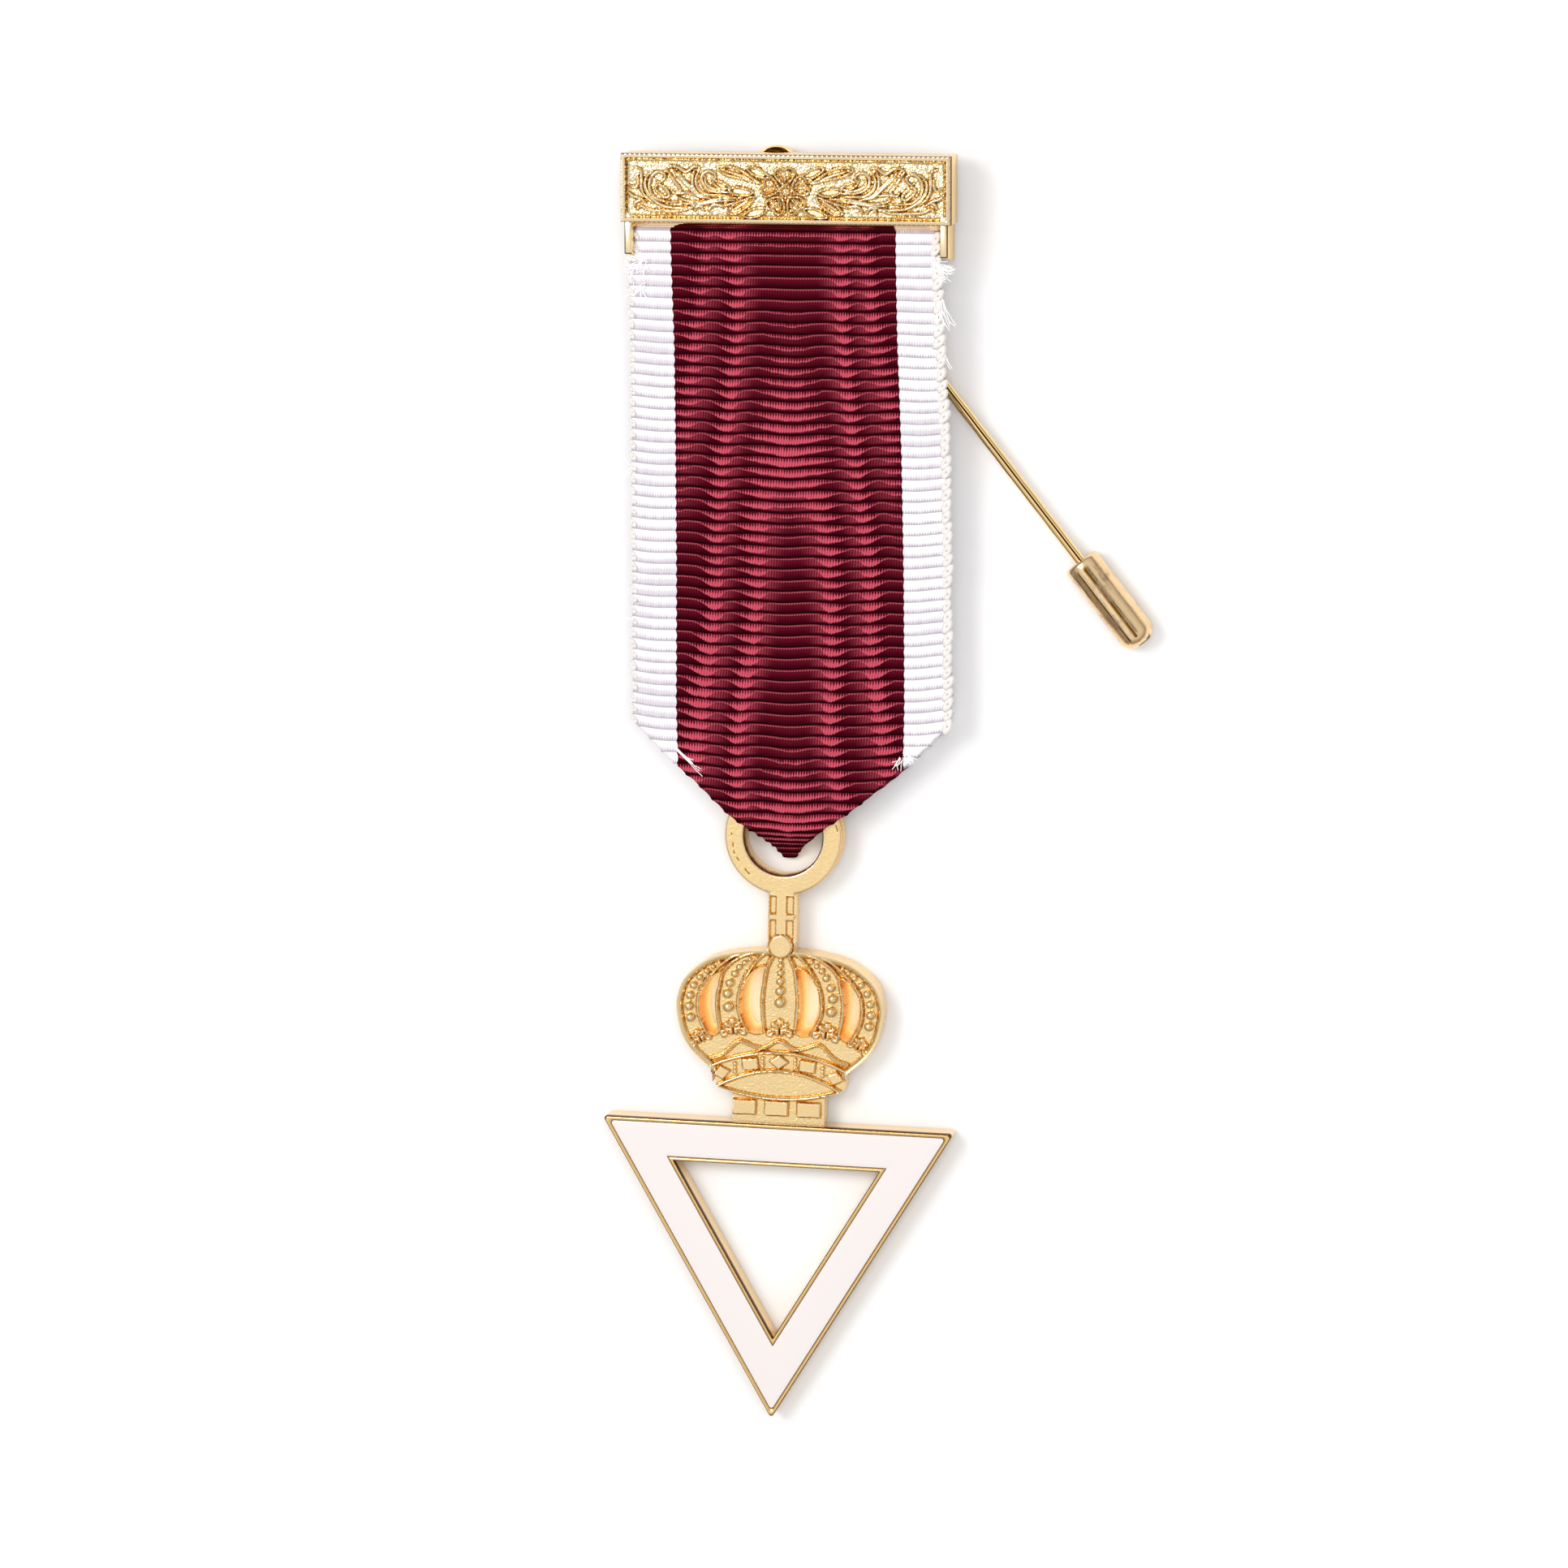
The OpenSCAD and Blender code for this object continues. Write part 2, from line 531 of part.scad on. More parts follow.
module crown_lines() {
    difference() {
        crown_outline();
        offset(delta = -rib_w * 1.3) crown_outline();
        translate([-band_w / 2, band_low - 2 * lens_sag]) square([band_w, 2 * lens_sag + 1.2 * band_h]);
    }
    both_sides() for (path = RIBS) line(curve(dome_shape(path)), rib_w);
    line(bow(band_w / 2, band_rise, band_line_y), rib_w);
    line(bow(lens_half, lens_rise, lens_y), rib_w);
    line(bow(lens_half, -lens_sag + rib_w / 2, lens_y), rib_w);
    both_sides() for (foot = FEET)
        translate([foot[0] * crown_w / 2, dome_low + foot[1] * dome_h])
            rotate(foot[2]) for (lobe = FOOT_LOBES)
                translate([lobe[0], lobe[1]] * lobe_d) circle(d = lobe[2] * lobe_d, $fn = 10);
}

// Middle line of the band of jewels at a share of its half width.
function gem_y(s) = (bow_y(s, band_rise, band_line_y) + bow_y(s, lens_rise, lens_y)) / 2;

module gem(kind) {
    if (kind == "diamond")
        polygon([[-0.53, 0], [0, 0.38], [0.53, 0], [0, -0.38]] * gem_w);
    else
        square([0.97, 0.6] * gem_w, center = true);
}

module crown() {
    translate([0, 0, back_step]) linear_extrude(height = face_z - back_step) difference() {
        crown_outline();
        crown_openings();
    }
    translate([0, 0, face_z - eps]) linear_extrude(height = face_sink + eps)
        offset(delta = eps) difference() {
            intersection() {
                offset(delta = -3 * eps) crown_outline();
                crown_lines();
            }
            offset(delta = 3 * eps) crown_openings();
        }
    for (side = [0, 1]) mirror([side, 0, 0]) {
        for (bead = BEADS)
            if (side == 0 || bead[0] > 0)
                translate([bead[0] * crown_w / 2, dome_low + bead[1] * dome_h, face_z + bead_proud / 3])
                    sphere(d = bead[2] * bead_d);
        for (gem = GEMS)
            if (side == 0 || gem[0] > 0)
                translate([gem[0] * band_w / 2, gem_y(gem[0]), face_z - eps])
                    rotate(-16 * gem[0]) linear_extrude(height = face_sink * 0.8) gem(gem[1]);
        for (s = PEARLS, step = [-0.75, 0.75])
            translate([s * band_w / 2, gem_y(s) + step * pearl_d, face_z + bead_proud / 6]) sphere(d = pearl_d);
    }
}

module ring_and_stem() {
    arm_y = crown_top + 0.675 * stem_h;
    low_y = crown_top - 2 * ring_sink;
    line_h = stem_h + 4 * ring_sink;
    translate([0, 0, back_step]) difference() {
        cylinder(d = ring_d, h = pendant_t - back_step);
        translate([0, 0, -through]) cylinder(d = ring_hole_d, h = pendant_t + 2 * through);
    }
    translate([-stem_w / 2, low_y, back_step]) cube([stem_w, line_h, face_z - back_step]);
    translate([-cross_line / 2, low_y, face_z - eps]) cube([cross_line, line_h, face_sink]);
    translate([-0.46 * stem_w, arm_y - cross_line / 2, face_z - eps])
        cube([0.92 * stem_w, cross_line, face_sink]);
    translate([0, crown_top + orb_d / 4, face_z - eps]) cylinder(d = orb_d, h = face_sink + bead_proud);
}

// The triangle, set in on every side.
module triangle(inset) {
    size = 1 - inset / inner_r;
    translate([0, triangle_top - inner_r]) scale(size) polygon([
        [-triangle_w / 2, inner_r], [triangle_w / 2, inner_r], [0, inner_r - triangle_h]]);
}

module block() {
    brick_step = 0.35 * block_w;
    brick_y = triangle_top + 0.4 * block_h;
    translate([-block_w / 2, triangle_top - eps, back_step])
        cube([block_w, block_h + band_h / 4, face_z - back_step]);
    for (i = [-1 : 1])
        translate([i * brick_step - brick_w / 2, brick_y - brick_h / 2, face_z - eps])
            cube([brick_w, brick_h, face_sink * 0.8]);
}

module triangle_frame() {
    difference() {
        linear_extrude(height = pendant_t) difference() {
            triangle(0);
            triangle(triangle_band);
        }
        translate([0, 0, pendant_t - tray_sink]) linear_extrude(height = pendant_t) difference() {
            triangle(line_w);
            triangle(triangle_band - line_w);
        }
    }
}

// Lays the pendant down with its lowest corner on the surface and its ring on the ribbon.
module lay_pendant() {
    translate([ring_x, ring_y, pendant_z]) rotate([pendant_tilt, 0, 0]) rotate([0, 0, pendant_turn])
        children();
}

module pendant() {
    color("gold") lay_pendant() {
        ring_and_stem();
        crown();
        block();
        triangle_frame();
    }
}

module enamel() {
    color("white") lay_pendant()
        translate([0, 0, pendant_t - tray_sink + enamel_gap])
            linear_extrude(height = tray_sink - enamel_sink - enamel_gap) difference() {
                triangle(line_w + enamel_gap);
                triangle(triangle_band - line_w - enamel_gap);
            }
}

bar();
pin_rivet();
ribbon();
pendant();
enamel();
pin();
pin_guard();
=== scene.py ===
import math
import random

import bmesh
import bpy
import numpy as np
from mathutils import Matrix, Vector
from mathutils.geometry import delaunay_2d_cdt
from mathutils.kdtree import KDTree


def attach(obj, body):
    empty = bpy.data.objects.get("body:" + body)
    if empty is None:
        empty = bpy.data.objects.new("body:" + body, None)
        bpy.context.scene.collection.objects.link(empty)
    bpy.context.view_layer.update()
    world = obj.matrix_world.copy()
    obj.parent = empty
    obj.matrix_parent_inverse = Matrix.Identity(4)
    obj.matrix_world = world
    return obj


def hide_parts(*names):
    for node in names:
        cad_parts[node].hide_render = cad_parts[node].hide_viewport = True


# A lodge breast jewel on its back. All sizes below are in millimetres in the frame's own axes: the origin is
# the pin's pivot on the surface, +Y runs up the jewel and +Z up from the surface.
MM = 0.001

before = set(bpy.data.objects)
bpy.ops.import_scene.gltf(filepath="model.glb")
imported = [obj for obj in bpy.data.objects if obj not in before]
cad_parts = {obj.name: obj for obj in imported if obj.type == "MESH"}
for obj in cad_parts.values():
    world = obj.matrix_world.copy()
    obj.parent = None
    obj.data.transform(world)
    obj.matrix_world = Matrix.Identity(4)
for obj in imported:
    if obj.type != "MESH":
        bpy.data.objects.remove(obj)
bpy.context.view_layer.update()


# Node trees and finishes

class Nodes:
    """A node tree and short ways to fill it."""

    def __init__(self, tree):
        self.tree = tree

    def set(self, node, name, value):
        """Links a socket to one of a node's inputs, or sets a plain value on it."""
        inputs = {s.name.lower(): s for s in reversed(node.inputs)}
        socket = node.inputs[name] if isinstance(name, int) else inputs[name.lower()]
        if isinstance(value, bpy.types.NodeSocket):
            self.tree.links.new(value, socket)
        elif isinstance(value, tuple) and len(value) == 3 and len(socket.default_value) == 4:
            socket.default_value = (*value, 1.0)
        else:
            socket.default_value = value

    def add(self, kind, out=0, props=None, **inputs):
        """A new node's output. An input is named by its words joined with _, or by _ and its number."""
        node = self.tree.nodes.new(kind)
        for key, value in (props or {}).items():
            setattr(node, key, value)
        for key, value in inputs.items():
            self.set(node, int(key[1:]) if key[1:].isdigit() else key.replace("_", " "), value)
        return node.outputs[out]

    def math(self, operation, *values):
        inputs = {f"_{i}": value for i, value in enumerate(values)}
        return self.add("ShaderNodeMath", 0, {"operation": operation}, **inputs)

    def times(self, value, other):
        return self.math("MULTIPLY", value, other)

    def minus(self, value, other):
        return self.math("SUBTRACT", value, other)

    def line(self, value, slope, start):
        """The value times the slope, plus the start."""
        return self.math("MULTIPLY_ADD", value, slope, start)

    def dot(self, way, other):
        return self.add("ShaderNodeVectorMath", 1, {"operation": "DOT_PRODUCT"}, _0=way, _1=other)

    def scaled(self, vector, size):
        return self.add("ShaderNodeVectorMath", 0, {"operation": "SCALE"}, _0=vector, Scale=size)

    def ramp(self, value, low, high, to_low=0.0, to_high=1.0, kind="LINEAR"):
        """Takes a value's run from low to high to another run and holds it at the ends."""
        return self.add("ShaderNodeMapRange", 0, {"interpolation_type": kind}, Value=value, From_Min=low,
                        From_Max=high, To_Min=to_low, To_Max=to_high)

    def eased(self, value, low, high):
        """A share from 0 to 1 that starts and ends gently."""
        return self.ramp(value, low, high, kind="SMOOTHSTEP")


class Finish(Nodes):
    """One material: a principled shader and the nodes that feed it."""

    def __init__(self, name, colour, **settings):
        self.material = bpy.data.materials.new(name)
        self.material.use_nodes = True
        super().__init__(self.material.node_tree)
        self.shader = self.tree.nodes["Principled BSDF"]
        self.give(base_color=colour, **settings)

    def give(self, **settings):
        """Sets or links the shader's own inputs."""
        for key, value in settings.items():
            self.set(self.shader, key.replace("_", " "), value)

    def read(self, name):
        """One of the piece's own numbers."""
        return self.add("ShaderNodeAttribute", 2, {"attribute_name": name})

    def place(self):
        return self.add("ShaderNodeTexCoord", 3)

    def noise(self, place, scale, detail=2.0, roughness=0.5, dimensions="3D"):
        return self.add("ShaderNodeTexNoise", 0, {"noise_dimensions": dimensions}, Vector=place, Scale=scale,
                        Detail=detail, Roughness=roughness)

    def mix(self, share, colour, other):
        return self.add("ShaderNodeMix", 2, {"data_type": "RGBA"}, _0=share, _6=colour, _7=other)


def tone(web):
    """A colour as a painter's chart gives it, in the linear numbers that a shader takes."""
    parts = [int(web[k : k + 2], 16) / 255 for k in (1, 3, 5)]
    return tuple(c / 12.92 if c <= 0.04045 else ((c + 0.055) / 1.055) ** 2.4 for c in parts)


# The picture

CAMERA = (141.92, 53.47, 800.0)
AIM = (0.32, -62.13, 0.0)
SENSOR = 36.0
PIXELS_PER_MM = 12.25
IMAGE_PIXELS = 1932
TABLE_HALF = 1500.0
TABLE_WHITE = (0.93, 0.93, 0.935)
# The middle of the crown's openings, just over the table.
UNDER_CROWN = (0.6, -85.2, 0.45)
# Tones of the room from low to high, and the way in which they rise.
ROOM_TONES = [(0.0, (0.34, 0.31, 0.30, 1)), (0.3, (0.38, 0.36, 0.355, 1)), (0.62, (0.76, 0.755, 0.76, 1)),
              (1.0, (0.86, 0.86, 0.87, 1))]
ROOM_RISE = (0.10, 0.07, 1.0)
# A dark and a bright place of the room. Columns: direction, cosines where it begins and where it is whole,
# brightness.
ROOM_PLACES = [((0.245, 0.195, 1.0), 0.984, 0.994, 0.1), ((-0.2, -0.15, 1.0), 0.972, 0.992, 1.22)]


def make_camera():
    """A long lens at the photograph's angle, a little up and to the right of straight above."""
    place, aim = Vector(CAMERA) * MM, Vector(AIM) * MM
    back = (place - aim).normalized()
    right = Vector((0, 1, 0)).cross(back).normalized()
    data = bpy.data.cameras.new("camera")
    data.sensor_width = SENSOR
    data.lens = data.sensor_width * (place - aim).length / MM * PIXELS_PER_MM / IMAGE_PIXELS
    data.clip_start, data.clip_end = 0.05, 10.0
    camera = bpy.data.objects.new("camera", data)
    axes = Matrix((right, back.cross(right), back)).transposed()
    camera.matrix_world = Matrix.Translation(place) @ axes.to_4x4()
    bpy.context.scene.collection.objects.link(camera)
    bpy.context.scene.camera = camera


def area_light(name, place, wide, high, watts, colour, aim=(0, -60, 0), mirrored_in_metal=True):
    """A soft box that points at the jewel."""
    data = bpy.data.lights.new(name, "AREA")
    data.shape, data.size, data.size_y = "RECTANGLE", wide * MM, high * MM
    data.energy, data.color = watts, colour
    light = bpy.data.objects.new(name, data)
    light.location = Vector(place) * MM
    light.rotation_mode = "QUATERNION"
    light.rotation_quaternion = (light.location - Vector(aim) * MM).to_track_quat("Z", "Y")
    light.visible_glossy = mirrored_in_metal
    bpy.context.scene.collection.objects.link(light)


def make_lights():
    """Two soft boxes, and the light that the crown's gilt walls throw on the table inside its openings."""
    area_light("key_light", (-182, 92, 470), 200, 200, 1.02, (1.0, 0.985, 0.975))
    area_light("front_light", (125, 50, 520), 220, 220, 0.8, (1.0, 0.99, 0.985), mirrored_in_metal=False)
    x, y, _ = UNDER_CROWN
    area_light("gilt_bounce", UNDER_CROWN, 17, 9.5, 0.00016, (1.0, 0.8, 0.3), (x, y, -10), False)


def make_table():
    half = TABLE_HALF
    corners = [(-half, -half, 0), (half, -half, 0), (half, half, 0), (-half, half, 0)]
    paper = Finish("white_table", TABLE_WHITE, roughness=0.9)
    new_object("table_top", corners, [(0, 1, 2, 3)], paper)


def make_room():
    """The pale room that the metal mirrors."""
    world = bpy.data.worlds.new("room")
    world.use_nodes = True
    bpy.context.scene.world = world
    room = Nodes(world.node_tree)
    way = room.add("ShaderNodeTexCoord")
    tones = room.tree.nodes.new("ShaderNodeValToRGB")
    room.set(tones, 0, room.dot(way, ROOM_RISE))
    stops = tones.color_ramp.elements
    for place, _ in ROOM_TONES[1:-1]:
        stops.new(place)
    for stop, (_, colour) in zip(stops, ROOM_TONES):
        stop.color = colour
    light = tones.outputs["Color"]
    for toward, edge, core, brightness in ROOM_PLACES:
        near = room.dot(way, Vector(toward).normalized())
        light = room.scaled(light, room.ramp(near, edge, core, 1.0, brightness))
    room.set(world.node_tree.nodes["Background"], "Color", light)


# Lines and loops

def curve(points, steps=4, closed=False):
    """A smooth line through points, with steps between each pair."""
    p = np.array(points, float)
    n = len(p)
    spans = n if closed else n - 1
    out = []
    for i in range(spans):
        if closed:
            a, b, c, d = p[i - 1], p[i], p[(i + 1) % n], p[(i + 2) % n]
        else:
            a, b, c, d = p[max(i - 1, 0)], p[i], p[i + 1], p[min(i + 2, n - 1)]
        for k in range(steps):
            t = k / steps
            bend = (c - a) * t + (2 * a - 5 * b + 4 * c - d) * t**2 + (3 * b - a - 3 * c + d) * t**3
            out.append(b + 0.5 * bend)
    if not closed:
        out.append(p[-1])
    return np.array(out)


def spaced(loop, step):
    """The same loop with points about step apart."""
    out = []
    for a, b in zip(loop, np.roll(loop, -1, axis=0)):
        pieces = max(1, round(float(np.linalg.norm(b - a)) / step))
        out.extend(a + (b - a) * k / pieces for k in range(pieces))
    return np.array(out)


def circle(centre, radius, steps):
    turn = np.linspace(0, 2 * np.pi, steps, endpoint=False)
    return np.array(centre) + radius * np.stack([np.cos(turn), np.sin(turn)], axis=1)


def rectangle(low, high):
    (x0, y0), (x1, y1) = low, high
    return np.array([(x0, y0), (x1, y0), (x1, y1), (x0, y1)], float)


def mirrored(points):
    """The other side's copy of a loop or line."""
    return points[::-1] * np.array([-1.0, 1.0])


def inside(points, loop, chunk=8000):
    """Which of the points lie in a closed loop."""
    a, b = loop, np.roll(loop, -1, axis=0)
    rise = np.where(b[:, 1] == a[:, 1], 1e-12, b[:, 1] - a[:, 1])
    found = []
    for k in range(0, len(points), chunk):
        x, y = points[k : k + chunk, 0:1], points[k : k + chunk, 1:2]
        level = (a[:, 1] > y) != (b[:, 1] > y)
        crossed = level & (x < (b[:, 0] - a[:, 0]) * (y - a[:, 1]) / rise + a[:, 0])
        found.append(crossed.sum(axis=1) % 2 == 1)
    return np.concatenate(found) if found else np.zeros(0, bool)


def distance(points, line, closed=False, reach=1e9):
    """Distance of each point from a line and how far along it that is, from 0 to 1. Points out of reach get
    reach."""
    path = np.vstack([line, line[:1]]) if closed else line
    low, high = path.min(axis=0) - reach, path.max(axis=0) + reach
    near = np.where(((points >= low) & (points <= high)).all(axis=1))[0]
    away, along = np.full(len(points), float(reach)), np.zeros(len(points))
    if len(near):
        a, b = path[:-1], path[1:]
        run = b - a
        square = np.maximum((run**2).sum(axis=1), 1e-12)
        p = points[near][:, None, :]
        t = np.clip(((p - a) * run).sum(axis=2) / square, 0, 1)
        far = np.linalg.norm(p - (a + t[..., None] * run), axis=2)
        best = far.argmin(axis=1)
        rows = np.arange(len(near))
        away[near] = np.minimum(far[rows, best], reach)
        along[near] = (best + t[rows, best]) / len(run)
    return away, along


# Meshes

def new_object(name, points, faces=(), finish=None, smooth_deg=None, edges=()):
    """A mesh object from points in millimetres in the jewel's frame."""
    data = bpy.data.meshes.new(name)
    points = [tuple(p) for p in np.asarray(points) * MM]
    data.from_pydata(points, edges, [tuple(int(i) for i in face) for face in faces])
    data.update()
    if smooth_deg is not None:
        data.shade_smooth()
        data.set_sharp_from_angle(angle=math.radians(smooth_deg))
    obj = bpy.data.objects.new(name, data)
    bpy.context.scene.collection.objects.link(obj)
    if finish:
        data.materials.append(finish.material)
    return obj


def add_values(obj, **values):
    """Keeps numbers for each point of a mesh, for its material or its tree."""
    for name, numbers in values.items():
        attribute = obj.data.attributes.new(name, "FLOAT", "POINT")
        attribute.data.foreach_set("value", np.asarray(numbers, np.float32))


def skin(rings, steps, closed=False):
    """Faces between rings of points. A closed skin also joins the last ring to the first."""
    faces = []
    for r in range(rings if closed else rings - 1):
        a, b = r * steps, (r + 1) % rings * steps
        faces += [(a + i, a + (i + 1) % steps, b + (i + 1) % steps, b + i) for i in range(steps)]
    return faces


def caps(rings, steps):
    """The faces that close a skin at its first and last ring."""
    return [tuple(range(steps))[::-1], tuple(range((rings - 1) * steps, rings * steps))]


def tube(rows, steps):
    """A closed skin round the x axis. Rows: place along it, half width, half height."""
    turn = np.linspace(0, 2 * math.pi, steps, endpoint=False)
    verts = [np.column_stack([np.full(steps, x), a * np.cos(turn), b * np.sin(turn)]) for x, a, b in rows]
    return np.vstack(verts), skin(len(rows), steps) + caps(len(rows), steps)


def make_plain(obj):
    """Turns the result of an object's modifiers into its own plain mesh."""
    bpy.context.view_layer.update()
    plain = bpy.data.meshes.new_from_object(obj.evaluated_get(bpy.context.evaluated_depsgraph_get()))
    obj.modifiers.clear()
    old, obj.data = obj.data, plain
    bpy.data.meshes.remove(old)
    plain.name = obj.name


def bevelled(obj, width):
    edge = obj.modifiers.new("bevel", "BEVEL")
    edge.width, edge.segments, edge.limit_method = width * MM, 2, "ANGLE"
    make_plain(obj)
    obj.data.shade_smooth()
    obj.data.set_sharp_from_angle(angle=math.radians(35))
    return obj


def box_piece(name, low, high, finish):
    """A plain block with bevelled edges."""
    (x0, y0, z0), (x1, y1, z1) = low, high
    verts = [(x, y, z) for x in (x0, x1) for y in (y0, y1) for z in (z0, z1)]
    faces = [(0, 1, 3, 2), (4, 6, 7, 5), (0, 4, 5, 1), (2, 3, 7, 6), (0, 2, 6, 4), (1, 5, 7, 3)]
    return bevelled(new_object(name, verts, faces, finish), 0.08)


def extruded(name, section, x0, x1, finish, bevel):
    """A prism along the jewel's width from its (y, z) outline."""
    n = len(section)
    verts = [(x, y, z) for x in (x0, x1) for y, z in section]
    return bevelled(new_object(name, verts, skin(2, n) + caps(2, n), finish), bevel)


# Castings

def hollowness(z, triangles, rounds=3, depth=0.07):
    """How far each point of a relief lies below (up to 1) or above (down to -1) its surroundings."""
    pairs = np.vstack([triangles[:, [0, 1]], triangles[:, [1, 2]], triangles[:, [2, 0]]])
    pairs = np.vstack([pairs, pairs[:, ::-1]])
    count = np.maximum(np.bincount(pairs[:, 0], minlength=len(z)), 1)
    level = z.copy()
    for _ in range(rounds):
        level = np.bincount(pairs[:, 0], weights=level[pairs[:, 1]], minlength=len(z)) / count
    return np.clip((level - z) / depth, -1, 1)


def triangulated(loops, extra=()):
    """Triangles over the loops' whole area and its extra points, split along every loop."""
    points, edges = [], []
    for loop in loops:
        first, n = len(points), len(loop)
        points.extend(loop)
        edges.extend((first + i, first + (i + 1) % n) for i in range(n))
    points.extend(extra)
    flat, _, faces, *_ = delaunay_2d_cdt([Vector(q) for q in points], edges, [], 0, 1e-6)
    return np.array([tuple(q) for q in flat]), np.array([f for f in faces if len(f) == 3])


def border_loops(border):
    """The closed loops that directed edges make."""
    after = {}
    for a, b in border:
        after.setdefault(int(a), []).append(int(b))
    loops = []
    while after:
        first = next(iter(after))
        loop, here = [], first
        while here in after:
            loop.append(here)
            following = after[here].pop()
            if not after[here]:
                del after[here]
            here = following
        loops.append(loop)
    return loops


def rounded(to_edge, radius):
    """How far a rounded rim falls below its face at a distance from the edge."""
    inner = np.clip(1 - to_edge / radius, 0, 1)
    return radius * (1 - np.sqrt(1 - inner**2))


def ridge(z, points, line, width, high, base, closed=False, taper=False, crown=0.5):
    """Raises z to a rounded line of this width. A tapered one thins towards its ends."""
    away, along = distance(points, line, closed, width)
    half = width / 2
    if taper:
        half = half * (0.45 + 0.55 * np.sin(np.pi * np.clip(along, 0.02, 0.98)) ** 0.6)
    form = np.clip(1 - (away / half) ** 2, 0, 1) ** crown
    return np.where(away < half, np.maximum(z, base + high * form), z)


def bump_at(z, points, centre, radius, high, base):
    """A rounded boss."""
    far = np.linalg.norm(points - np.array(centre), axis=1) / radius
    return np.where(far < 1, np.maximum(z, base + high * np.clip(1 - far**2, 0, 1) ** 0.5), z)


def sandy(z, points, amount):
    """Small uneven grains over a cast face."""
    return z + amount * np.random.default_rng(7).uniform(-1, 1, len(points))


def block_at(z, points, centre, half, high, base, bevel=0.12, turn=0.0, diamond=False):
    """A raised table, square or like a diamond, with bevelled sides."""
    c, s = math.cos(math.radians(turn)), math.sin(math.radians(turn))
    q = (points - np.array(centre)) @ np.array([[c, -s], [s, c]])
    x, y = np.abs(q[:, 0]), np.abs(q[:, 1])
    if diamond:
        inner = (1 - x / half[0] - y / half[1]) * min(half) * 0.8
    else:
        inner = np.minimum(half[0] - x, half[1] - y)
    return np.where(inner > 0, np.maximum(z, base + high * np.clip(inner / bevel, 0, 1) ** 0.7), z)


def nearest_of(points):
    """A tree that finds the nearest of flat points."""
    tree = KDTree(len(points))
    for i, (x, y) in enumerate(points):
        tree.insert((x, y, 0), i)
    tree.balance()
    return tree


def wound(triangles, flat, way):
    """The triangles turned so that all face up (way 1) or down (way -1)."""
    corners = flat[triangles]
    turn = way * np.cross(corners[:, 1] - corners[:, 0], corners[:, 2] - corners[:, 0])
    triangles[turn < 0] = triangles[turn < 0][:, ::-1]
    return triangles


def face_points(steps, kept, rim):
    """Points over a casting's face in triangular grids, clear of its rim. Earlier grids keep their area."""
    extra, done = [], []
    clear = 0.6 * steps[0][0]
    near_rim = nearest_of(rim)
    for spacing, low, high in steps:
        x = np.arange(low[0], high[0], spacing)
        y = np.arange(low[1], high[1], spacing * math.sin(math.radians(60)))
        grid = np.stack(np.meshgrid(x, y), axis=-1)
        grid[1::2, :, 0] += spacing / 2
        grid = grid.reshape(-1, 2)
        for first, last in done:
            grid = grid[~((grid >= first) & (grid <= last)).all(axis=1)]
        done.append((low, high))
        extra.extend(q for q in grid[kept(grid)] if near_rim.find((q[0], q[1], 0))[2] > clear)
    return extra


def leant(low, loops, draft):
    """Moves the back's points on these loops in by the draft. Also gives 1 for each point that moved."""
    moved = np.zeros(len(low))
    for loop in loops:
        last, first = loop.max(axis=0), loop.min(axis=0)
        middle, reach = (last + first) / 2, (last - first) / 2
        own = distance(low, loop, True, 0.05)[0] < 0.03
        low[own] = middle + (low[own] - middle) * (1 - draft / reach)
        moved[own] = 1.0
    return moved


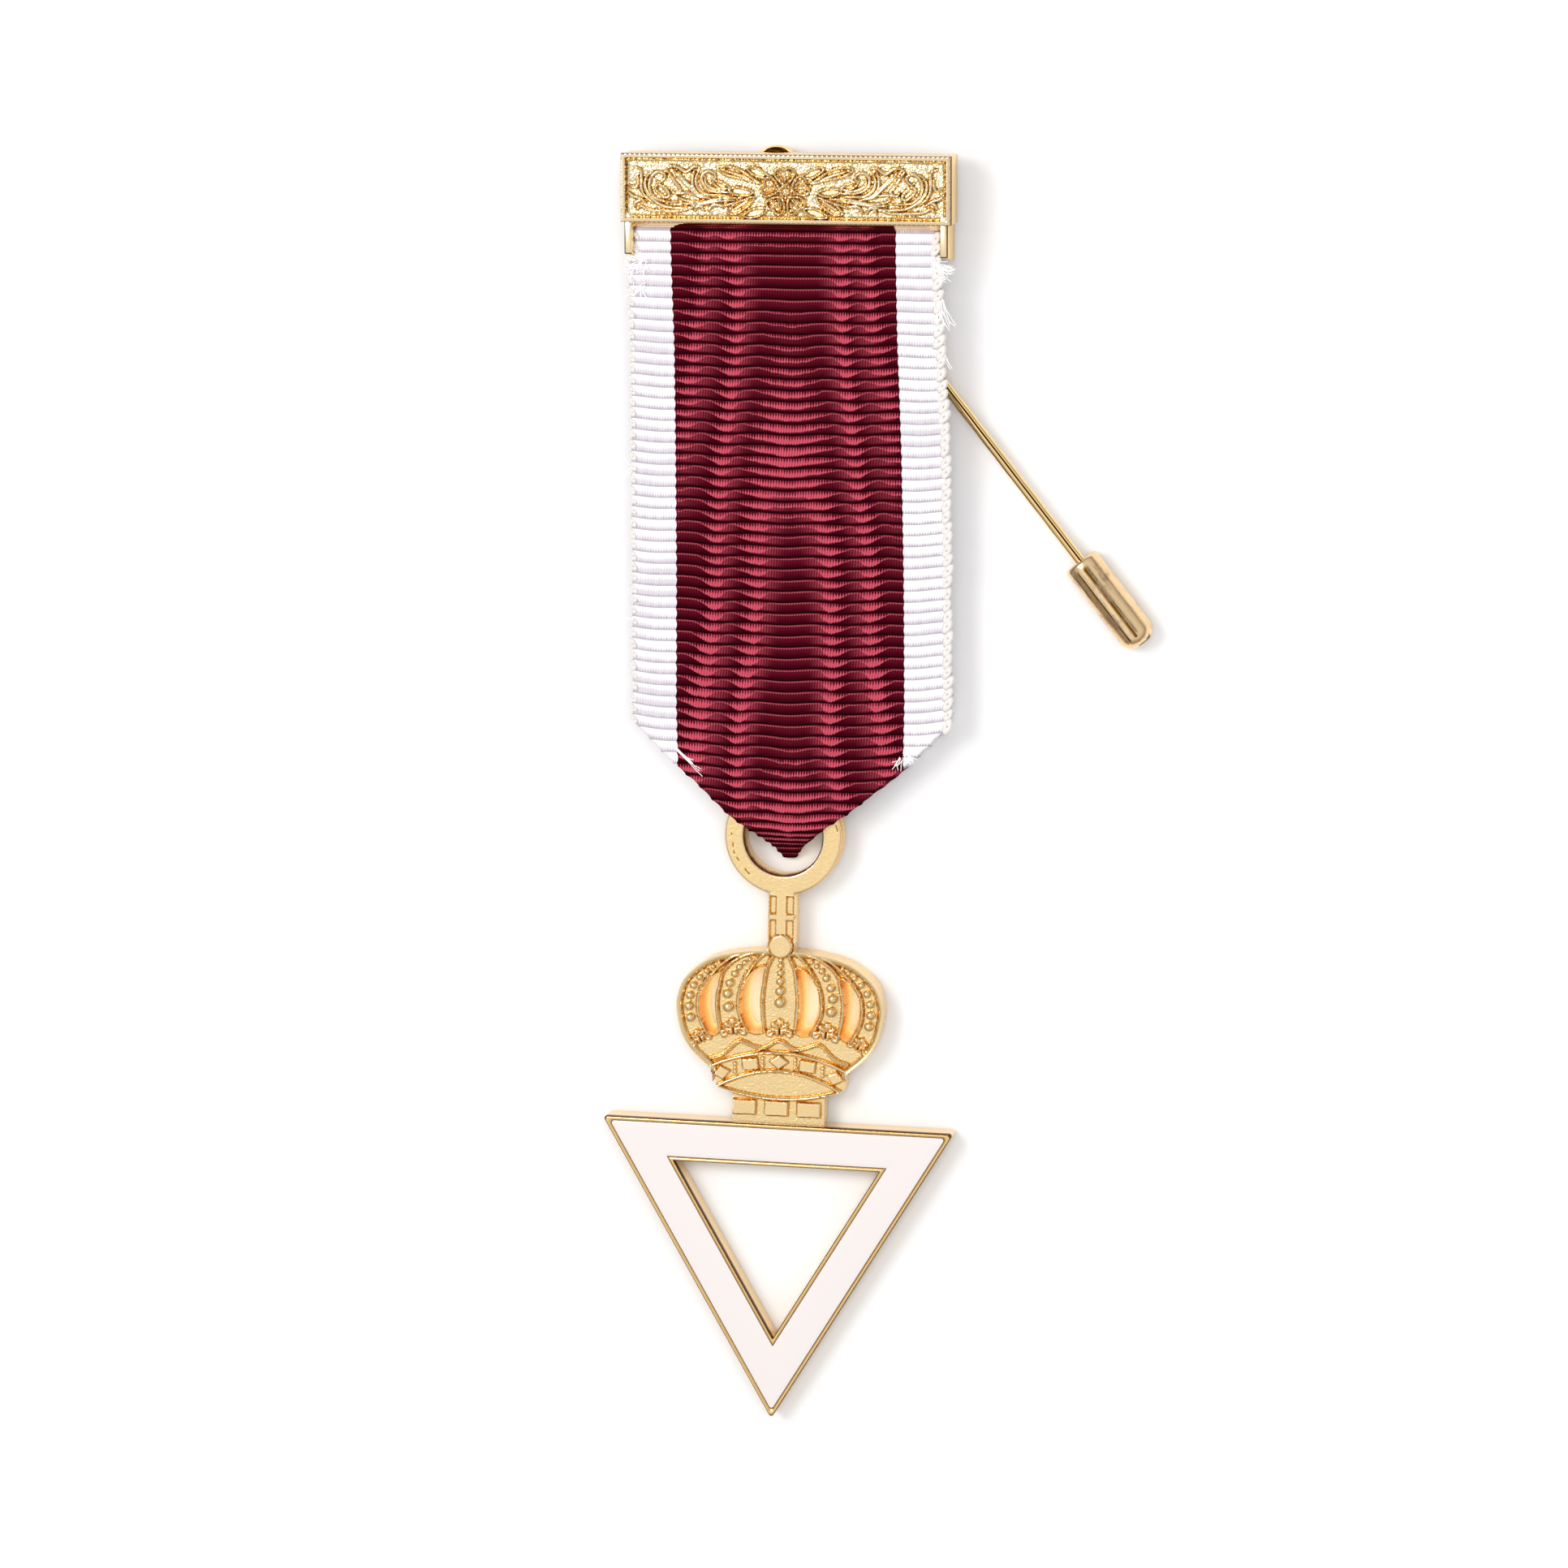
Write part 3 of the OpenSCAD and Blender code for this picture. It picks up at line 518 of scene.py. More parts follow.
def cast_plate(name, solid, pierced, height, back_z, steps, place, finish, smooth_deg=40, leaning=(),
               draft=0.0, edge_shade=0.0, stains=None):
    """A casting: the solid loops joined, less the pierced ones, its face raised by height(points, to_edge).

    steps is [(spacing, low corner, high corner)] of the grids of points on the face, and place moves points
    from the casting's own frame into the jewel's. The walls of leaning loops lean in by the draft towards the
    back. edge_shade is how dark the painted shade on the face's outer edge and its walls is, and
    stains(points) how dark other places are."""
    loops = [spaced(loop, steps[0][0] * 1.2) for loop in solid + pierced]

    def kept(points):
        held = np.zeros(len(points), bool)
        for loop in solid:
            held |= inside(points, loop)
        for loop in pierced:
            held &= ~inside(points, loop)
        return held

    flat, triangles = triangulated(loops, face_points(steps, kept, np.vstack(loops)))
    triangles = wound(triangles[kept(flat[triangles].mean(axis=1))], flat, 1)
    sides = dict.fromkeys(pair for a, b, c in triangles for pair in ((a, b), (b, c), (c, a)))
    border = [pair for pair in sides if (pair[1], pair[0]) not in sides]
    marks = nearest_of([flat[a] + (flat[b] - flat[a]) * t for a, b in border for t in (0, 0.25, 0.5, 0.75)])
    to_edge = np.array([marks.find((x, y, 0))[2] for x, y in flat])
    z = height(flat, to_edge)
    # How far each point lies in a hollow; the gilding paints shade in hollows and a highlight on raised edges
    # from it.
    hollow = hollowness(z, triangles)
    # Painted shade on the face's outer edge, and on the walls below it.
    if edge_shade:
        hollow[to_edge < 0.02] = 1.15
    if stains:
        hollow = hollow + 1.5 * stains(flat)
    rim = sorted({int(a) for pair in border for a in pair})
    under = {a: len(flat) + i for i, a in enumerate(rim)}
    low = flat[rim]
    glow = leant(low, leaning, draft)
    verts = np.vstack([np.column_stack([flat, z]), np.column_stack([low, np.full(len(low), back_z)])])
    walls = [(a, under[a], under[b], b) for a, b in border]
    back_loops = border_loops(border)
    base, back = triangulated([flat[loop] for loop in back_loops])
    back = wound(back[kept(base[back].mean(axis=1))], base, -1)
    order = [under[a] for loop in back_loops for a in loop]
    backs = [tuple(order[i] for i in t) for t in back if max(t) < len(order)]
    keep = np.concatenate([np.unique(triangles), np.arange(len(flat), len(verts))])
    renumber = {int(old): new for new, old in enumerate(keep)}
    faces = [tuple(renumber[int(i)] for i in f) for f in [tuple(t) for t in triangles] + walls + backs]
    obj = new_object(name, place(verts[keep]), faces, finish, smooth_deg)
    hollow = np.concatenate([hollow, np.full(len(low), edge_shade)])
    glow = np.concatenate([np.zeros(len(flat)), glow])
    add_values(obj, hollow=hollow[keep], glow=glow[keep])
    return obj


# Pieces that Geometry Nodes grow

def grown(name, points, values, build, finish):
    """A piece grown on points, with the tree that build makes and the points' own numbers."""
    base = new_object(name, points)
    add_values(base, **values)
    return grow_on(base, build, finish)


def grow_on(obj, build, finish):
    """Puts an object through the tree that build makes and leaves the plain result on the object."""
    tree = bpy.data.node_groups.new(obj.name + "_tree", "GeometryNodeTree")
    tree.interface.new_socket("Geometry", in_out="INPUT", socket_type="NodeSocketGeometry")
    tree.interface.new_socket("Geometry", in_out="OUTPUT", socket_type="NodeSocketGeometry")
    settings = {}

    def named(label, value):
        socket = tree.interface.new_socket(label, in_out="INPUT", socket_type="NodeSocketFloat")
        settings[socket.identifier] = value

    source, target = tree.nodes.new("NodeGroupInput"), tree.nodes.new("NodeGroupOutput")
    nodes = Nodes(tree)
    real = nodes.add("GeometryNodeRealizeInstances", Geometry=build(nodes, named, source))
    nodes.set(target, 0, nodes.add("GeometryNodeSetMaterial", Geometry=real, Material=finish.material))
    modifier = obj.modifiers.new("grow", "NODES")
    modifier.node_group = tree
    for key, value in settings.items():
        modifier[key] = value
    make_plain(obj)
    if not obj.data.materials:
        obj.data.materials.append(finish.material)
    return obj


def own_number(nodes, key):
    """A point's own number inside a tree."""
    return nodes.add("GeometryNodeInputNamedAttribute", 0, {"data_type": "FLOAT"}, Name=key)


def ball_tree(nodes, named, source):
    """One bead on each point, as wide as the point's number says."""
    named("Bead diameter", 1.0 * MM)
    ball = nodes.add("GeometryNodeMeshUVSphere", Segments=20, Rings=12, Radius=0.5)
    ball = nodes.add("GeometryNodeSetShadeSmooth", _0=ball)
    size = nodes.times(own_number(nodes, "size"), source.outputs[1])
    return nodes.add("GeometryNodeInstanceOnPoints", Points=source.outputs[0], Instance=ball, Scale=size)


def rib_tree(nodes, named, source):
    """Raises cloth between its rib lines."""
    named("Rib height", RIB_HIGH * MM)
    phase = nodes.math("FRACT", own_number(nodes, "rib"))
    hump = nodes.times(phase, nodes.minus(1.0, phase))
    hump = nodes.math("POWER", nodes.times(hump, 4.0), 0.7)
    way = nodes.scaled(nodes.add("GeometryNodeInputNormal"), nodes.times(hump, source.outputs[1]))
    return nodes.add("GeometryNodeSetPosition", Geometry=source.outputs[0], Offset=way)


def loop_tree(nodes, named, source):
    """A slanted loop of thread on each point."""
    named("Thread radius", 0.35 * MM)
    named("Loop width", 0.5)
    ring = nodes.add("GeometryNodeCurvePrimitiveCircle", Resolution=14, _4=0.36 * MM)
    section = nodes.add("GeometryNodeCurvePrimitiveCircle", Resolution=6, _4=source.outputs[1])
    loop = nodes.add("GeometryNodeCurveToMesh", Curve=ring, Profile_Curve=section)
    loop = nodes.add("GeometryNodeSetShadeSmooth", _0=loop)
    turn = nodes.add("ShaderNodeCombineXYZ", X=own_number(nodes, "tip"), Z=own_number(nodes, "turn"))
    size = own_number(nodes, "size")
    narrow = nodes.times(size, source.outputs[2])
    shape = nodes.add("ShaderNodeCombineXYZ", X=narrow, Y=size, Z=1.0)
    return nodes.add("GeometryNodeInstanceOnPoints", Points=source.outputs[0], Instance=loop, Rotation=turn,
                     Scale=shape)


def strand_tree(nodes, named, source):
    """Thin threads along the edges of a mesh."""
    named("Thread radius", 0.038 * MM)
    path = nodes.add("GeometryNodeMeshToCurve", Mesh=source.outputs[0])
    section = nodes.add("GeometryNodeCurvePrimitiveCircle", Resolution=5, _4=source.outputs[1])
    return nodes.add("GeometryNodeCurveToMesh", Curve=path, Profile_Curve=section, Fill_Caps=True)


# Metal finishes

GRAIN = 3600.0
CLOUDS = 420.0
# The painted highlight colour of raised edges in the gilding.
PALE_GILT = (1.0, 0.93, 0.72)
# Painted light on the walls of the crown's openings: colours and emission glow at the face and at the back.
WALL_BOUNCE_TONES = ((0.84, 0.47, 0.14), (1.0, 0.8, 0.45))
WALL_GLOW = ((1.0, 0.52, 0.13), (1.0, 0.72, 0.32))


def gilt(name, colour, warm, deep, roughness, sand, specks, warm_at=(0.45, 0.95), deep_at=(0.85, 1.3)):
    """Gilding: a painted highlight on raised edges, painted warm shade in hollows and dark painted shade in
    the sharpest of them.
    """
    f = Finish(name, colour, metallic=1.0, roughness=roughness)
    hollow = f.read("hollow")
    grain = f.noise(f.place(), GRAIN, 4.0, 0.65)
    lean = f.minus(f.line(grain, specks, hollow), specks * 0.5)
    paint = f.mix(f.noise(f.place(), CLOUDS), colour, tuple(c * 0.9 for c in colour))
    # Painted highlight on raised edges, warm painted shade in hollows and dark painted shade in the sharpest.
    paint = f.mix(f.times(f.eased(lean, -0.1, -0.6), 0.3), paint, PALE_GILT)
    paint = f.mix(f.eased(lean, *warm_at), paint, warm)
    paint = f.mix(f.eased(lean, *deep_at), paint, deep)
    rough = f.ramp(grain, 0.3, 0.7, roughness * 0.8, roughness * 1.25)
    rough = f.times(rough, f.ramp(hollow, -0.5, -0.1, 0.45, 1.0))
    grip = f.ramp(hollow, -0.35, -0.05, 0.12, 0.5)
    bump = f.add("ShaderNodeBump", Height=grain, Strength=grip, Distance=sand * MM)
    f.give(base_color=warm_walls(f, paint), roughness=rough, normal=bump)
    return f


def warm_walls(f, paint):
    """Gives the walls of the crown's openings painted light: colours and an emission glow that stand in for
    the light that gilt walls throw on each other."""
    upright = f.math("ABSOLUTE", f.add("ShaderNodeSeparateXYZ", 2, Vector=f.add("ShaderNodeTexCoord", 1)))
    glow = f.read("glow")
    low = f.ramp(glow, 0.35, 1.0)
    share = f.times(f.ramp(glow, 0.0, 0.35), f.ramp(upright, 0.6, 0.4))
    strength = f.times(f.line(low, 0.3, 0.06), share)
    # Painted glow: emission on the walls, stronger towards the back.
    f.give(metallic=f.ramp(share, 0.0, 1.0, 1.0, 0.3), emission_color=f.mix(low, *WALL_GLOW),
           emission_strength=strength)
    return f.mix(share, paint, f.mix(low, *WALL_BOUNCE_TONES))


# The pendant

PENDANT_PLACE = (0.9, -66.85, 0.9431)
PENDANT_TILT = 0.9031
PENDANT_TURN = -1.35
PENDANT_TOP = 3.0
PENDANT_FACE = 2.45
PENDANT_BACK = 0.2
RING_OUT = 5.95
RING_IN = 4.0
STEM_HALF = 1.35
STEM_TOP = -5.2
STEM_LOW = -12.4
CROWN_HALF = 10.5
DOME_LOW = -24.0
DOME_HIGH = 12.2
BAND_HALF = 6.8
BLOCK_HALF = 4.7
BLOCK_TOP = -25.9
BLOCK_LOW = -29.53
ORB = (-0.04, -11.2)
ORB_HALF = 1.25
WALL_LEAN = 0.62
TRIANGLE_TOP = -29.5
TRIANGLE_HALF = 17.95
TRIANGLE_HIGH = 30.35
TRIANGLE_BAND = 4.25
LINE = 0.4
ENAMEL_GAP = 0.07

# Crown shapes of the right half. Columns: share of the crown's half width, share of the arches' height.
DOME_EDGE = [(0, 1.01), (0.2, 1.005), (0.404, 0.985), (0.646, 0.932), (0.81, 0.845), (0.933, 0.735),
             (0.99, 0.607), (1.0, 0.49), (0.952, 0.295), (0.85, 0.148), (0.66, 0)]
OPENINGS = [
    [(0.154, 0.87), (0.255, 0.83), (0.344, 0.733), (0.387, 0.61), (0.378, 0.47), (0.29, 0.325),
     (0.168, 0.325), (0.182, 0.45), (0.194, 0.60), (0.172, 0.755)],
    [(0.585, 0.80), (0.685, 0.748), (0.757, 0.655), (0.783, 0.54), (0.762, 0.418), (0.68, 0.285),
     (0.596, 0.315), (0.62, 0.443), (0.63, 0.582), (0.605, 0.705)]]
ARCH_EDGES = [
    [(0.05, 1.0), (0.10, 0.93), (0.135, 0.85), (0.155, 0.75), (0.172, 0.60), (0.165, 0.45), (0.15, 0.33)],
    [(0.15, 0.985), (0.21, 0.94), (0.285, 0.86), (0.362, 0.745), (0.404, 0.61), (0.395, 0.465),
     (0.305, 0.32)],
    [(0.25, 0.985), (0.36, 0.955), (0.48, 0.89), (0.565, 0.80), (0.588, 0.70), (0.613, 0.582),
     (0.603, 0.443), (0.575, 0.31)],
    [(0.40, 0.965), (0.49, 0.93), (0.61, 0.845), (0.705, 0.755), (0.775, 0.66), (0.80, 0.54), (0.78, 0.415),
     (0.695, 0.27)]]
WAVE = [(0.0, 0.255), (0.045, 0.242), (0.10, 0.208), (0.17, 0.184), (0.268, 0.204), (0.34, 0.23),
        (0.395, 0.236), (0.449, 0.197), (0.515, 0.138), (0.587, 0.10), (0.665, 0.082)]
# Beads of the middle, inner and outer arches, with a third column: diameter in millimetres.
BEADS = [
    (0, 0.93, 0.45), (0, 0.885, 0.55), (0, 0.825, 0.66), (0, 0.755, 0.78), (0, 0.672, 0.9), (0, 0.578, 1.02),
    (0.30, 0.925, 0.4), (0.35, 0.895, 0.5), (0.40, 0.857, 0.6), (0.443, 0.80, 0.7), (0.49, 0.72, 0.82),
    (0.512, 0.63, 0.9), (0.5, 0.52, 1.0),
    (0.60, 0.885, 0.35), (0.66, 0.85, 0.4), (0.72, 0.81, 0.5), (0.785, 0.755, 0.6), (0.843, 0.685, 0.7),
    (0.876, 0.6, 0.78), (0.884, 0.51, 0.84), (0.868, 0.415, 0.86)]
# The arches' leafy feet. Columns: shares of place, turn in degrees, size.
FEET = [(0, 0.345, 0, 1.0), (0.452, 0.335, -8, 1.0), (0.775, 0.245, -28, 0.85)]
# The right half of a foot's leaf and the curls cut into it, in millimetres from its middle.
LEAF = [(0, 1.2), (0.3, 1.12), (0.38, 0.82), (0.66, 0.86), (0.98, 0.6), (0.8, 0.22), (1.2, 0.1),
        (1.42, -0.35), (1.18, -0.8), (0.72, -0.72), (0.5, -0.36), (0.28, -0.72), (0, -0.5)]
CURLS = [[(0.42, 0.62), (0.16, 0.5), (0.22, 0.2), (0.5, 0.22)], [(0.96, -0.3), (0.72, -0.12), (0.44, -0.2)],
         [(0, 0.12), (0.02, -0.45)]]
# Stones along the band. Columns: share of its half width, half its width, half its height, diamond or not.
STONES = [(0, 1.1, 0.82, True), (0.43, 0.86, 0.62, False), (0.855, 0.98, 0.78, True)]
# Columns of three pearls between the stones, at these shares of the band's half width.
PEARLS = [0.245, 0.66]
PEARL_STEP = 0.3844
# Pockets of the cross on the stem. Columns: middle, half width and height.
POCKETS = [((-0.86, -7.0), (0.36, 0.95)), ((0.86, -7.0), (0.4, 0.95)),
           ((-0.86, -9.75), (0.34, 1.25)), ((0.86, -9.75), (0.4, 1.25))]
# Bows over and under the stones: half width, rise in the middle, height of the ends.
BAND_TOP = (BAND_HALF, 1.6, -23.72)
LENS_TOP = (6.3, 1.85, -25.85)
LENS_LOW = (6.3, -1.0, -25.85)
# Scratches round the ring. Columns: first and last degree, radius.
SCRATCHES = [(178, 212, 5.2), (222, 231, 5.1), (4, 32, 5.55), (264, 272, 4.35)]
# The rail round the triangle's enamel. Columns: distance in from the edge, height, painted shade of its
# gilding (below 0 a painted highlight).
TRIANGLE_RAIL = [(0, 0, -0.3), (0, PENDANT_TOP - 0.85, -0.3), (0, PENDANT_TOP - 0.7, 1.4),
                 (0, PENDANT_TOP - 0.16, 1.4), (0.03, PENDANT_TOP - 0.07, 1.3),
                 (0.09, PENDANT_TOP - 0.015, 0.8), (0.17, PENDANT_TOP, -0.1),
                 (0.25, PENDANT_TOP - 0.01, -0.1), (0.33, PENDANT_TOP - 0.05, 0),
                 (0.39, PENDANT_TOP - 0.13, 0.6), (0.42, PENDANT_TOP - 0.6, 1.2)]


def dome(points):
    """Shares of the crown in the pendant's own millimetres."""
    return np.array([(x * CROWN_HALF, DOME_LOW + y * DOME_HIGH) for x, y in points])


def bow(half, rise, y, steps=48):
    """A shallow arch as a line."""
    s = np.linspace(-1, 1, steps + 1)
    return np.stack([s * half, y + rise * (1 - s * s)], axis=1)


def bow_y(half, rise, y, x):
    """The height of a bow at a place across it."""
    return y + rise * (1 - (x / half) ** 2)


def stone_y(s):
    """Middle of the band of stones at a share of its half width."""
    x = s * BAND_HALF
    return (bow_y(*BAND_TOP, x) + bow_y(*LENS_TOP, x)) / 2


def lay_pendant(points):
    """The pendant's own coordinates in the jewel's."""
    tilt = Matrix.Rotation(math.radians(PENDANT_TILT), 3, "X")
    turn = tilt @ Matrix.Rotation(math.radians(PENDANT_TURN), 3, "Z")
    return np.asarray(points, float) @ np.array(turn).T + np.array(PENDANT_PLACE)


def crown_top_at(x):
    """The upper edge of the crown's arches over a place across it."""
    line = curve(dome(DOME_EDGE), 5)
    line = line[: np.argmax(line[:, 0]) + 1]
    return np.interp(np.abs(x), line[:, 0], line[:, 1])


def ring_scratches(p):
    """Fine dark scratches round the ring's face, strongest at 1."""
    ring, turn = np.linalg.norm(p, axis=1), np.arctan2(p[:, 1], p[:, 0]) % (2 * math.pi)
    dashes = np.sin(turn * 31 + 2 * np.sin(turn * 9)) > -0.2
    wear_and_reflection = np.zeros(len(p))
    for first, last, radius in SCRATCHES:
        in_reach = (turn > math.radians(first)) & (turn < math.radians(last))
        off = (ring - radius - 0.07 * np.sin(turn * 13)) / 0.07
        wear_and_reflection = np.maximum(wear_and_reflection, np.where(dashes & in_reach, np.exp(-(off**2)), 0.0))
    return wear_and_reflection


def cross_height(p, to_edge):
    """The stem's face with the cross left standing between its four pockets."""
    z = PENDANT_TOP - rounded(to_edge, 0.12)
    for (x, y), (w, h) in POCKETS:
        depth = np.minimum(w - np.abs(p[:, 0] - x), h - np.abs(p[:, 1] - y))
        z = np.where(depth > 0, PENDANT_TOP - 0.28 * np.clip(depth / 0.08, 0, 1), z)
    return z


def foot_height(z, p, flip, x, y, turn, size):
    """Raises the leafy foot of an arch, with its curls cut in."""
    c, s = math.cos(math.radians(turn)), math.sin(math.radians(turn))
    spin = np.array([[c, s], [-s, c]]) * size
    middle = np.array([x * CROWN_HALF, DOME_LOW + y * DOME_HIGH])
    half = curve(LEAF, 5)
    leaf = (np.vstack([half, mirrored(half)[1:-1]]) @ spin + middle) * flip
    in_leaf = inside(p, leaf)
    in_by = distance(p, leaf, True, 1.0)[0]
    z = np.where(in_leaf, np.maximum(z, PENDANT_FACE + 0.44 * np.clip(in_by / 0.16, 0, 1) ** 0.6), z)
    for curl in CURLS:
        for side in (1, -1):
            line = (np.array(curve(curl, 4)) * (side, 1) @ spin + middle) * flip
            z = z - 0.24 * in_leaf * np.exp(-((distance(p, line, False, 0.5)[0] / 0.085) ** 2))
    return z


def crown_half_height(z, p, side):
    """Raises one half of the crown: its rim, arches, openings' edges, feet and stones. The right half brings
    the foot and the stone in the middle."""
    face = PENDANT_FACE
    rise = PENDANT_TOP - face
    flip = np.array([side, 1])
    z = ridge(z, p, curve(dome(DOME_EDGE), 5) * flip, 1.15, rise, base=face)
    for path in ARCH_EDGES:
        z = ridge(z, p, curve(dome(path), 5) * flip, 0.4, rise, base=face, crown=0.75)
    z = ridge(z, p, curve(dome(WAVE), 5) * flip, 0.4, 0.6, base=face, crown=0.75)
    for path in OPENINGS:
        loop = curve(dome(path), 5, closed=True) * flip
        z = ridge(z, p, loop, 0.34, 0.42, closed=True, base=face, crown=0.7)
    for foot in FEET:
        if foot[0] or side > 0:
            z = foot_height(z, p, flip, *foot)
    for x, w, h, diamond in STONES:
        if x or side > 0:
            z = block_at(z, p, np.array([x * BAND_HALF, stone_y(x)]) * flip, (w, h), 0.42, face,
                         turn=-16 * x * side, diamond=diamond)
    return z


def pendant_height(p, to_edge):
    """Height of the cast face over the pendant's own plane."""
    face, top = PENDANT_FACE, PENDANT_TOP
    in_ring = np.linalg.norm(p, axis=1) < RING_OUT + 0.02
    z = np.where(in_ring, top - rounded(to_edge, 0.22), face)
    stem = (np.abs(p[:, 0]) < STEM_HALF + 0.01) & (p[:, 1] > STEM_LOW) & ~in_ring
    z = np.where(stem, cross_height(p, to_edge), z)
    z = np.where((p[:, 1] < crown_top_at(p[:, 0])) & ~in_ring, face, z)
    for side in (1, -1):
        z = crown_half_height(z, p, side)
    z = ridge(z, p, bow(*BAND_TOP), 0.4, 0.58, base=face)
    z = ridge(z, p, bow(*LENS_TOP), 0.38, 0.55, base=face)
    z = ridge(z, p, bow(*LENS_LOW), 0.42, 0.55, base=face)
    below = p[:, 1] < bow_y(*LENS_LOW, np.clip(p[:, 0], -LENS_LOW[0], LENS_LOW[0])) - 0.2
    z = np.where(below & ~in_ring & (np.abs(p[:, 0]) < BLOCK_HALF + 0.05), face - 0.1, z)
    for i in (-1, 0, 1):
        z = block_at(z, p, (-0.17 + i * 3.29, -27.85), (1.24, 0.8), 0.45, face - 0.1, turn=-1.0)
    orb = np.linalg.norm(p - np.array(ORB), axis=1)
    shoulder = (orb < ORB_HALF + 0.13) & (p[:, 0] > 0.5) & (p[:, 1] > -11.9)
    z = np.where(shoulder, np.minimum(z, face + 0.2), z)
    dish = face + 0.3 + 0.35 * np.clip((ORB_HALF - orb) / 0.18, 0, 1) ** 0.6
    z = np.where(orb < ORB_HALF, dish, z) - 0.02 * ring_scratches(p)
    grains = np.where(in_ring, 0.006, np.where(z > face + 0.1, 0.002, 0.014))
    return np.where(to_edge > 0.15, sandy(z, p, grains), z)


def crown_outline():
    """The crown's closed outline: both halves of the dome, the band's sides and the lens under it."""
    half = curve(dome(DOME_EDGE), 5)
    side = np.array([(BAND_HALF, -25.5), (BAND_HALF, -23.8)])
    return np.vstack([half, side[::-1], bow(*LENS_LOW, 40)[::-1], mirrored(side), mirrored(half)[:-1]])


def make_pendant_beads(metal):
    """The beads up the arches and the pearls between the stones."""
    spots, sizes = [], []
    for x, y, d in BEADS:
        for side in (1, -1) if x > 0 else (1,):
            spots.append((side * x * CROWN_HALF, DOME_LOW + y * DOME_HIGH, PENDANT_FACE + 0.22 + 0.1 * d))
            sizes.append(d * 1.16)
    for s in PEARLS:
        for side in (1, -1):
            for step in (-PEARL_STEP, 0, PEARL_STEP):
                spots.append((side * s * BAND_HALF, stone_y(s) + step, PENDANT_FACE + 0.14))
                sizes.append(0.5 if step else 0.42)
    return grown("pendant_beads", lay_pendant(spots), {"size": sizes}, ball_tree, metal)


def make_pendant(metal, bead_metal, line_metal):
    solid = [circle((0, 0), RING_OUT, 150), rectangle((-STEM_HALF, STEM_LOW), (STEM_HALF, STEM_TOP)),
             crown_outline(), rectangle((-BLOCK_HALF, BLOCK_LOW), (BLOCK_HALF, BLOCK_TOP))]
    openings = []
    for path in OPENINGS:
        loop = curve(dome(path), 5, closed=True)
        openings += [loop, mirrored(loop)]
    pierced = [circle((0, 0), RING_IN, 110)] + openings
    steps = [(0.1, (-1.7, -13.2), (1.7, -5.6)), (0.08, (-10.7, -29.6), (10.7, -11.0)),
             (0.1, (-6.1, -12.8), (6.1, 6.1))]
    cast = cast_plate("pendant_cast", solid, pierced, pendant_height, PENDANT_BACK, steps, lay_pendant, metal,
                      smooth_deg=50, leaning=openings, draft=WALL_LEAN, stains=ring_scratches)
    return [cast, make_pendant_beads(bead_metal), make_triangle(line_metal)]


def corner_loop(inset, radius, steps=8):
    """The triangle set in on every side, with its corners rounded."""
    half, high = TRIANGLE_HALF, TRIANGLE_HIGH
    size_in = half * 2 * high / (2 * half + 2 * math.hypot(half, high))
    middle = np.array([0, TRIANGLE_TOP - size_in])
    size = 1 - (inset + radius) / size_in
    corners = [np.array([-half, size_in]), np.array([0, size_in - high]), np.array([half, size_in])]
    lean = math.degrees(math.atan2(half, high))
    turns = [(90, 180 + lean), (180 + lean, 360 - lean), (-lean, 90)]
    out = []
    for corner, (start, end) in zip(corners, turns):
        for k in range(steps + 1):
            angle = math.radians(start + (end - start) * k / steps)
            out.append(middle + corner * size + radius * np.array([math.cos(angle), math.sin(angle)]))
    return np.array(out)


def loft(name, rows, finish):
    """A closed skin over rows of (inset, height, corner radius) round the triangle."""
    loops = [corner_loop(inset, radius) for inset, z, radius in rows]
    steps = len(loops[0])
    verts = [np.column_stack([loop, np.full(steps, row[1])]) for loop, row in zip(loops, rows)]
    return new_object(name, lay_pendant(np.vstack(verts)), skin(len(rows), steps, closed=True), finish, 40)


def make_triangle(metal):
    """The triangle's body, with the raised line round its outer and its inner edge."""
    rows = [(a, z, 0.28) for a, z, _ in TRIANGLE_RAIL]
    rows += [(TRIANGLE_BAND - a, z, 0.06) for a, z, _ in TRIANGLE_RAIL[::-1]]
    obj = loft("pendant_triangle", rows, metal)
    # Painted shade on the rail's walls and a painted highlight along its top.
    dark = [row[2] for row in TRIANGLE_RAIL]
    add_values(obj, hollow=np.repeat(dark + dark[::-1], len(obj.data.vertices) // len(rows)))
    return obj


def make_enamel(enamel):
    """The white face between the two raised lines."""
    top = PENDANT_TOP - ENAMEL_GAP
    outer, inner = LINE + ENAMEL_GAP, TRIANGLE_BAND - LINE - ENAMEL_GAP
    rows = [(outer - 0.02, top - 0.5, 0.24), (outer - 0.02, top - 0.06, 0.24),
            (outer + 0.1, top - 0.02, 0.24), (outer + 0.4, top, 0.24),
            (inner - 0.4, top, 0.1), (inner - 0.1, top - 0.02, 0.08),
            (inner + 0.02, top - 0.06, 0.06), (inner + 0.02, top - 0.5, 0.06)]
    return loft("enamel_face", rows, enamel)


# The bar

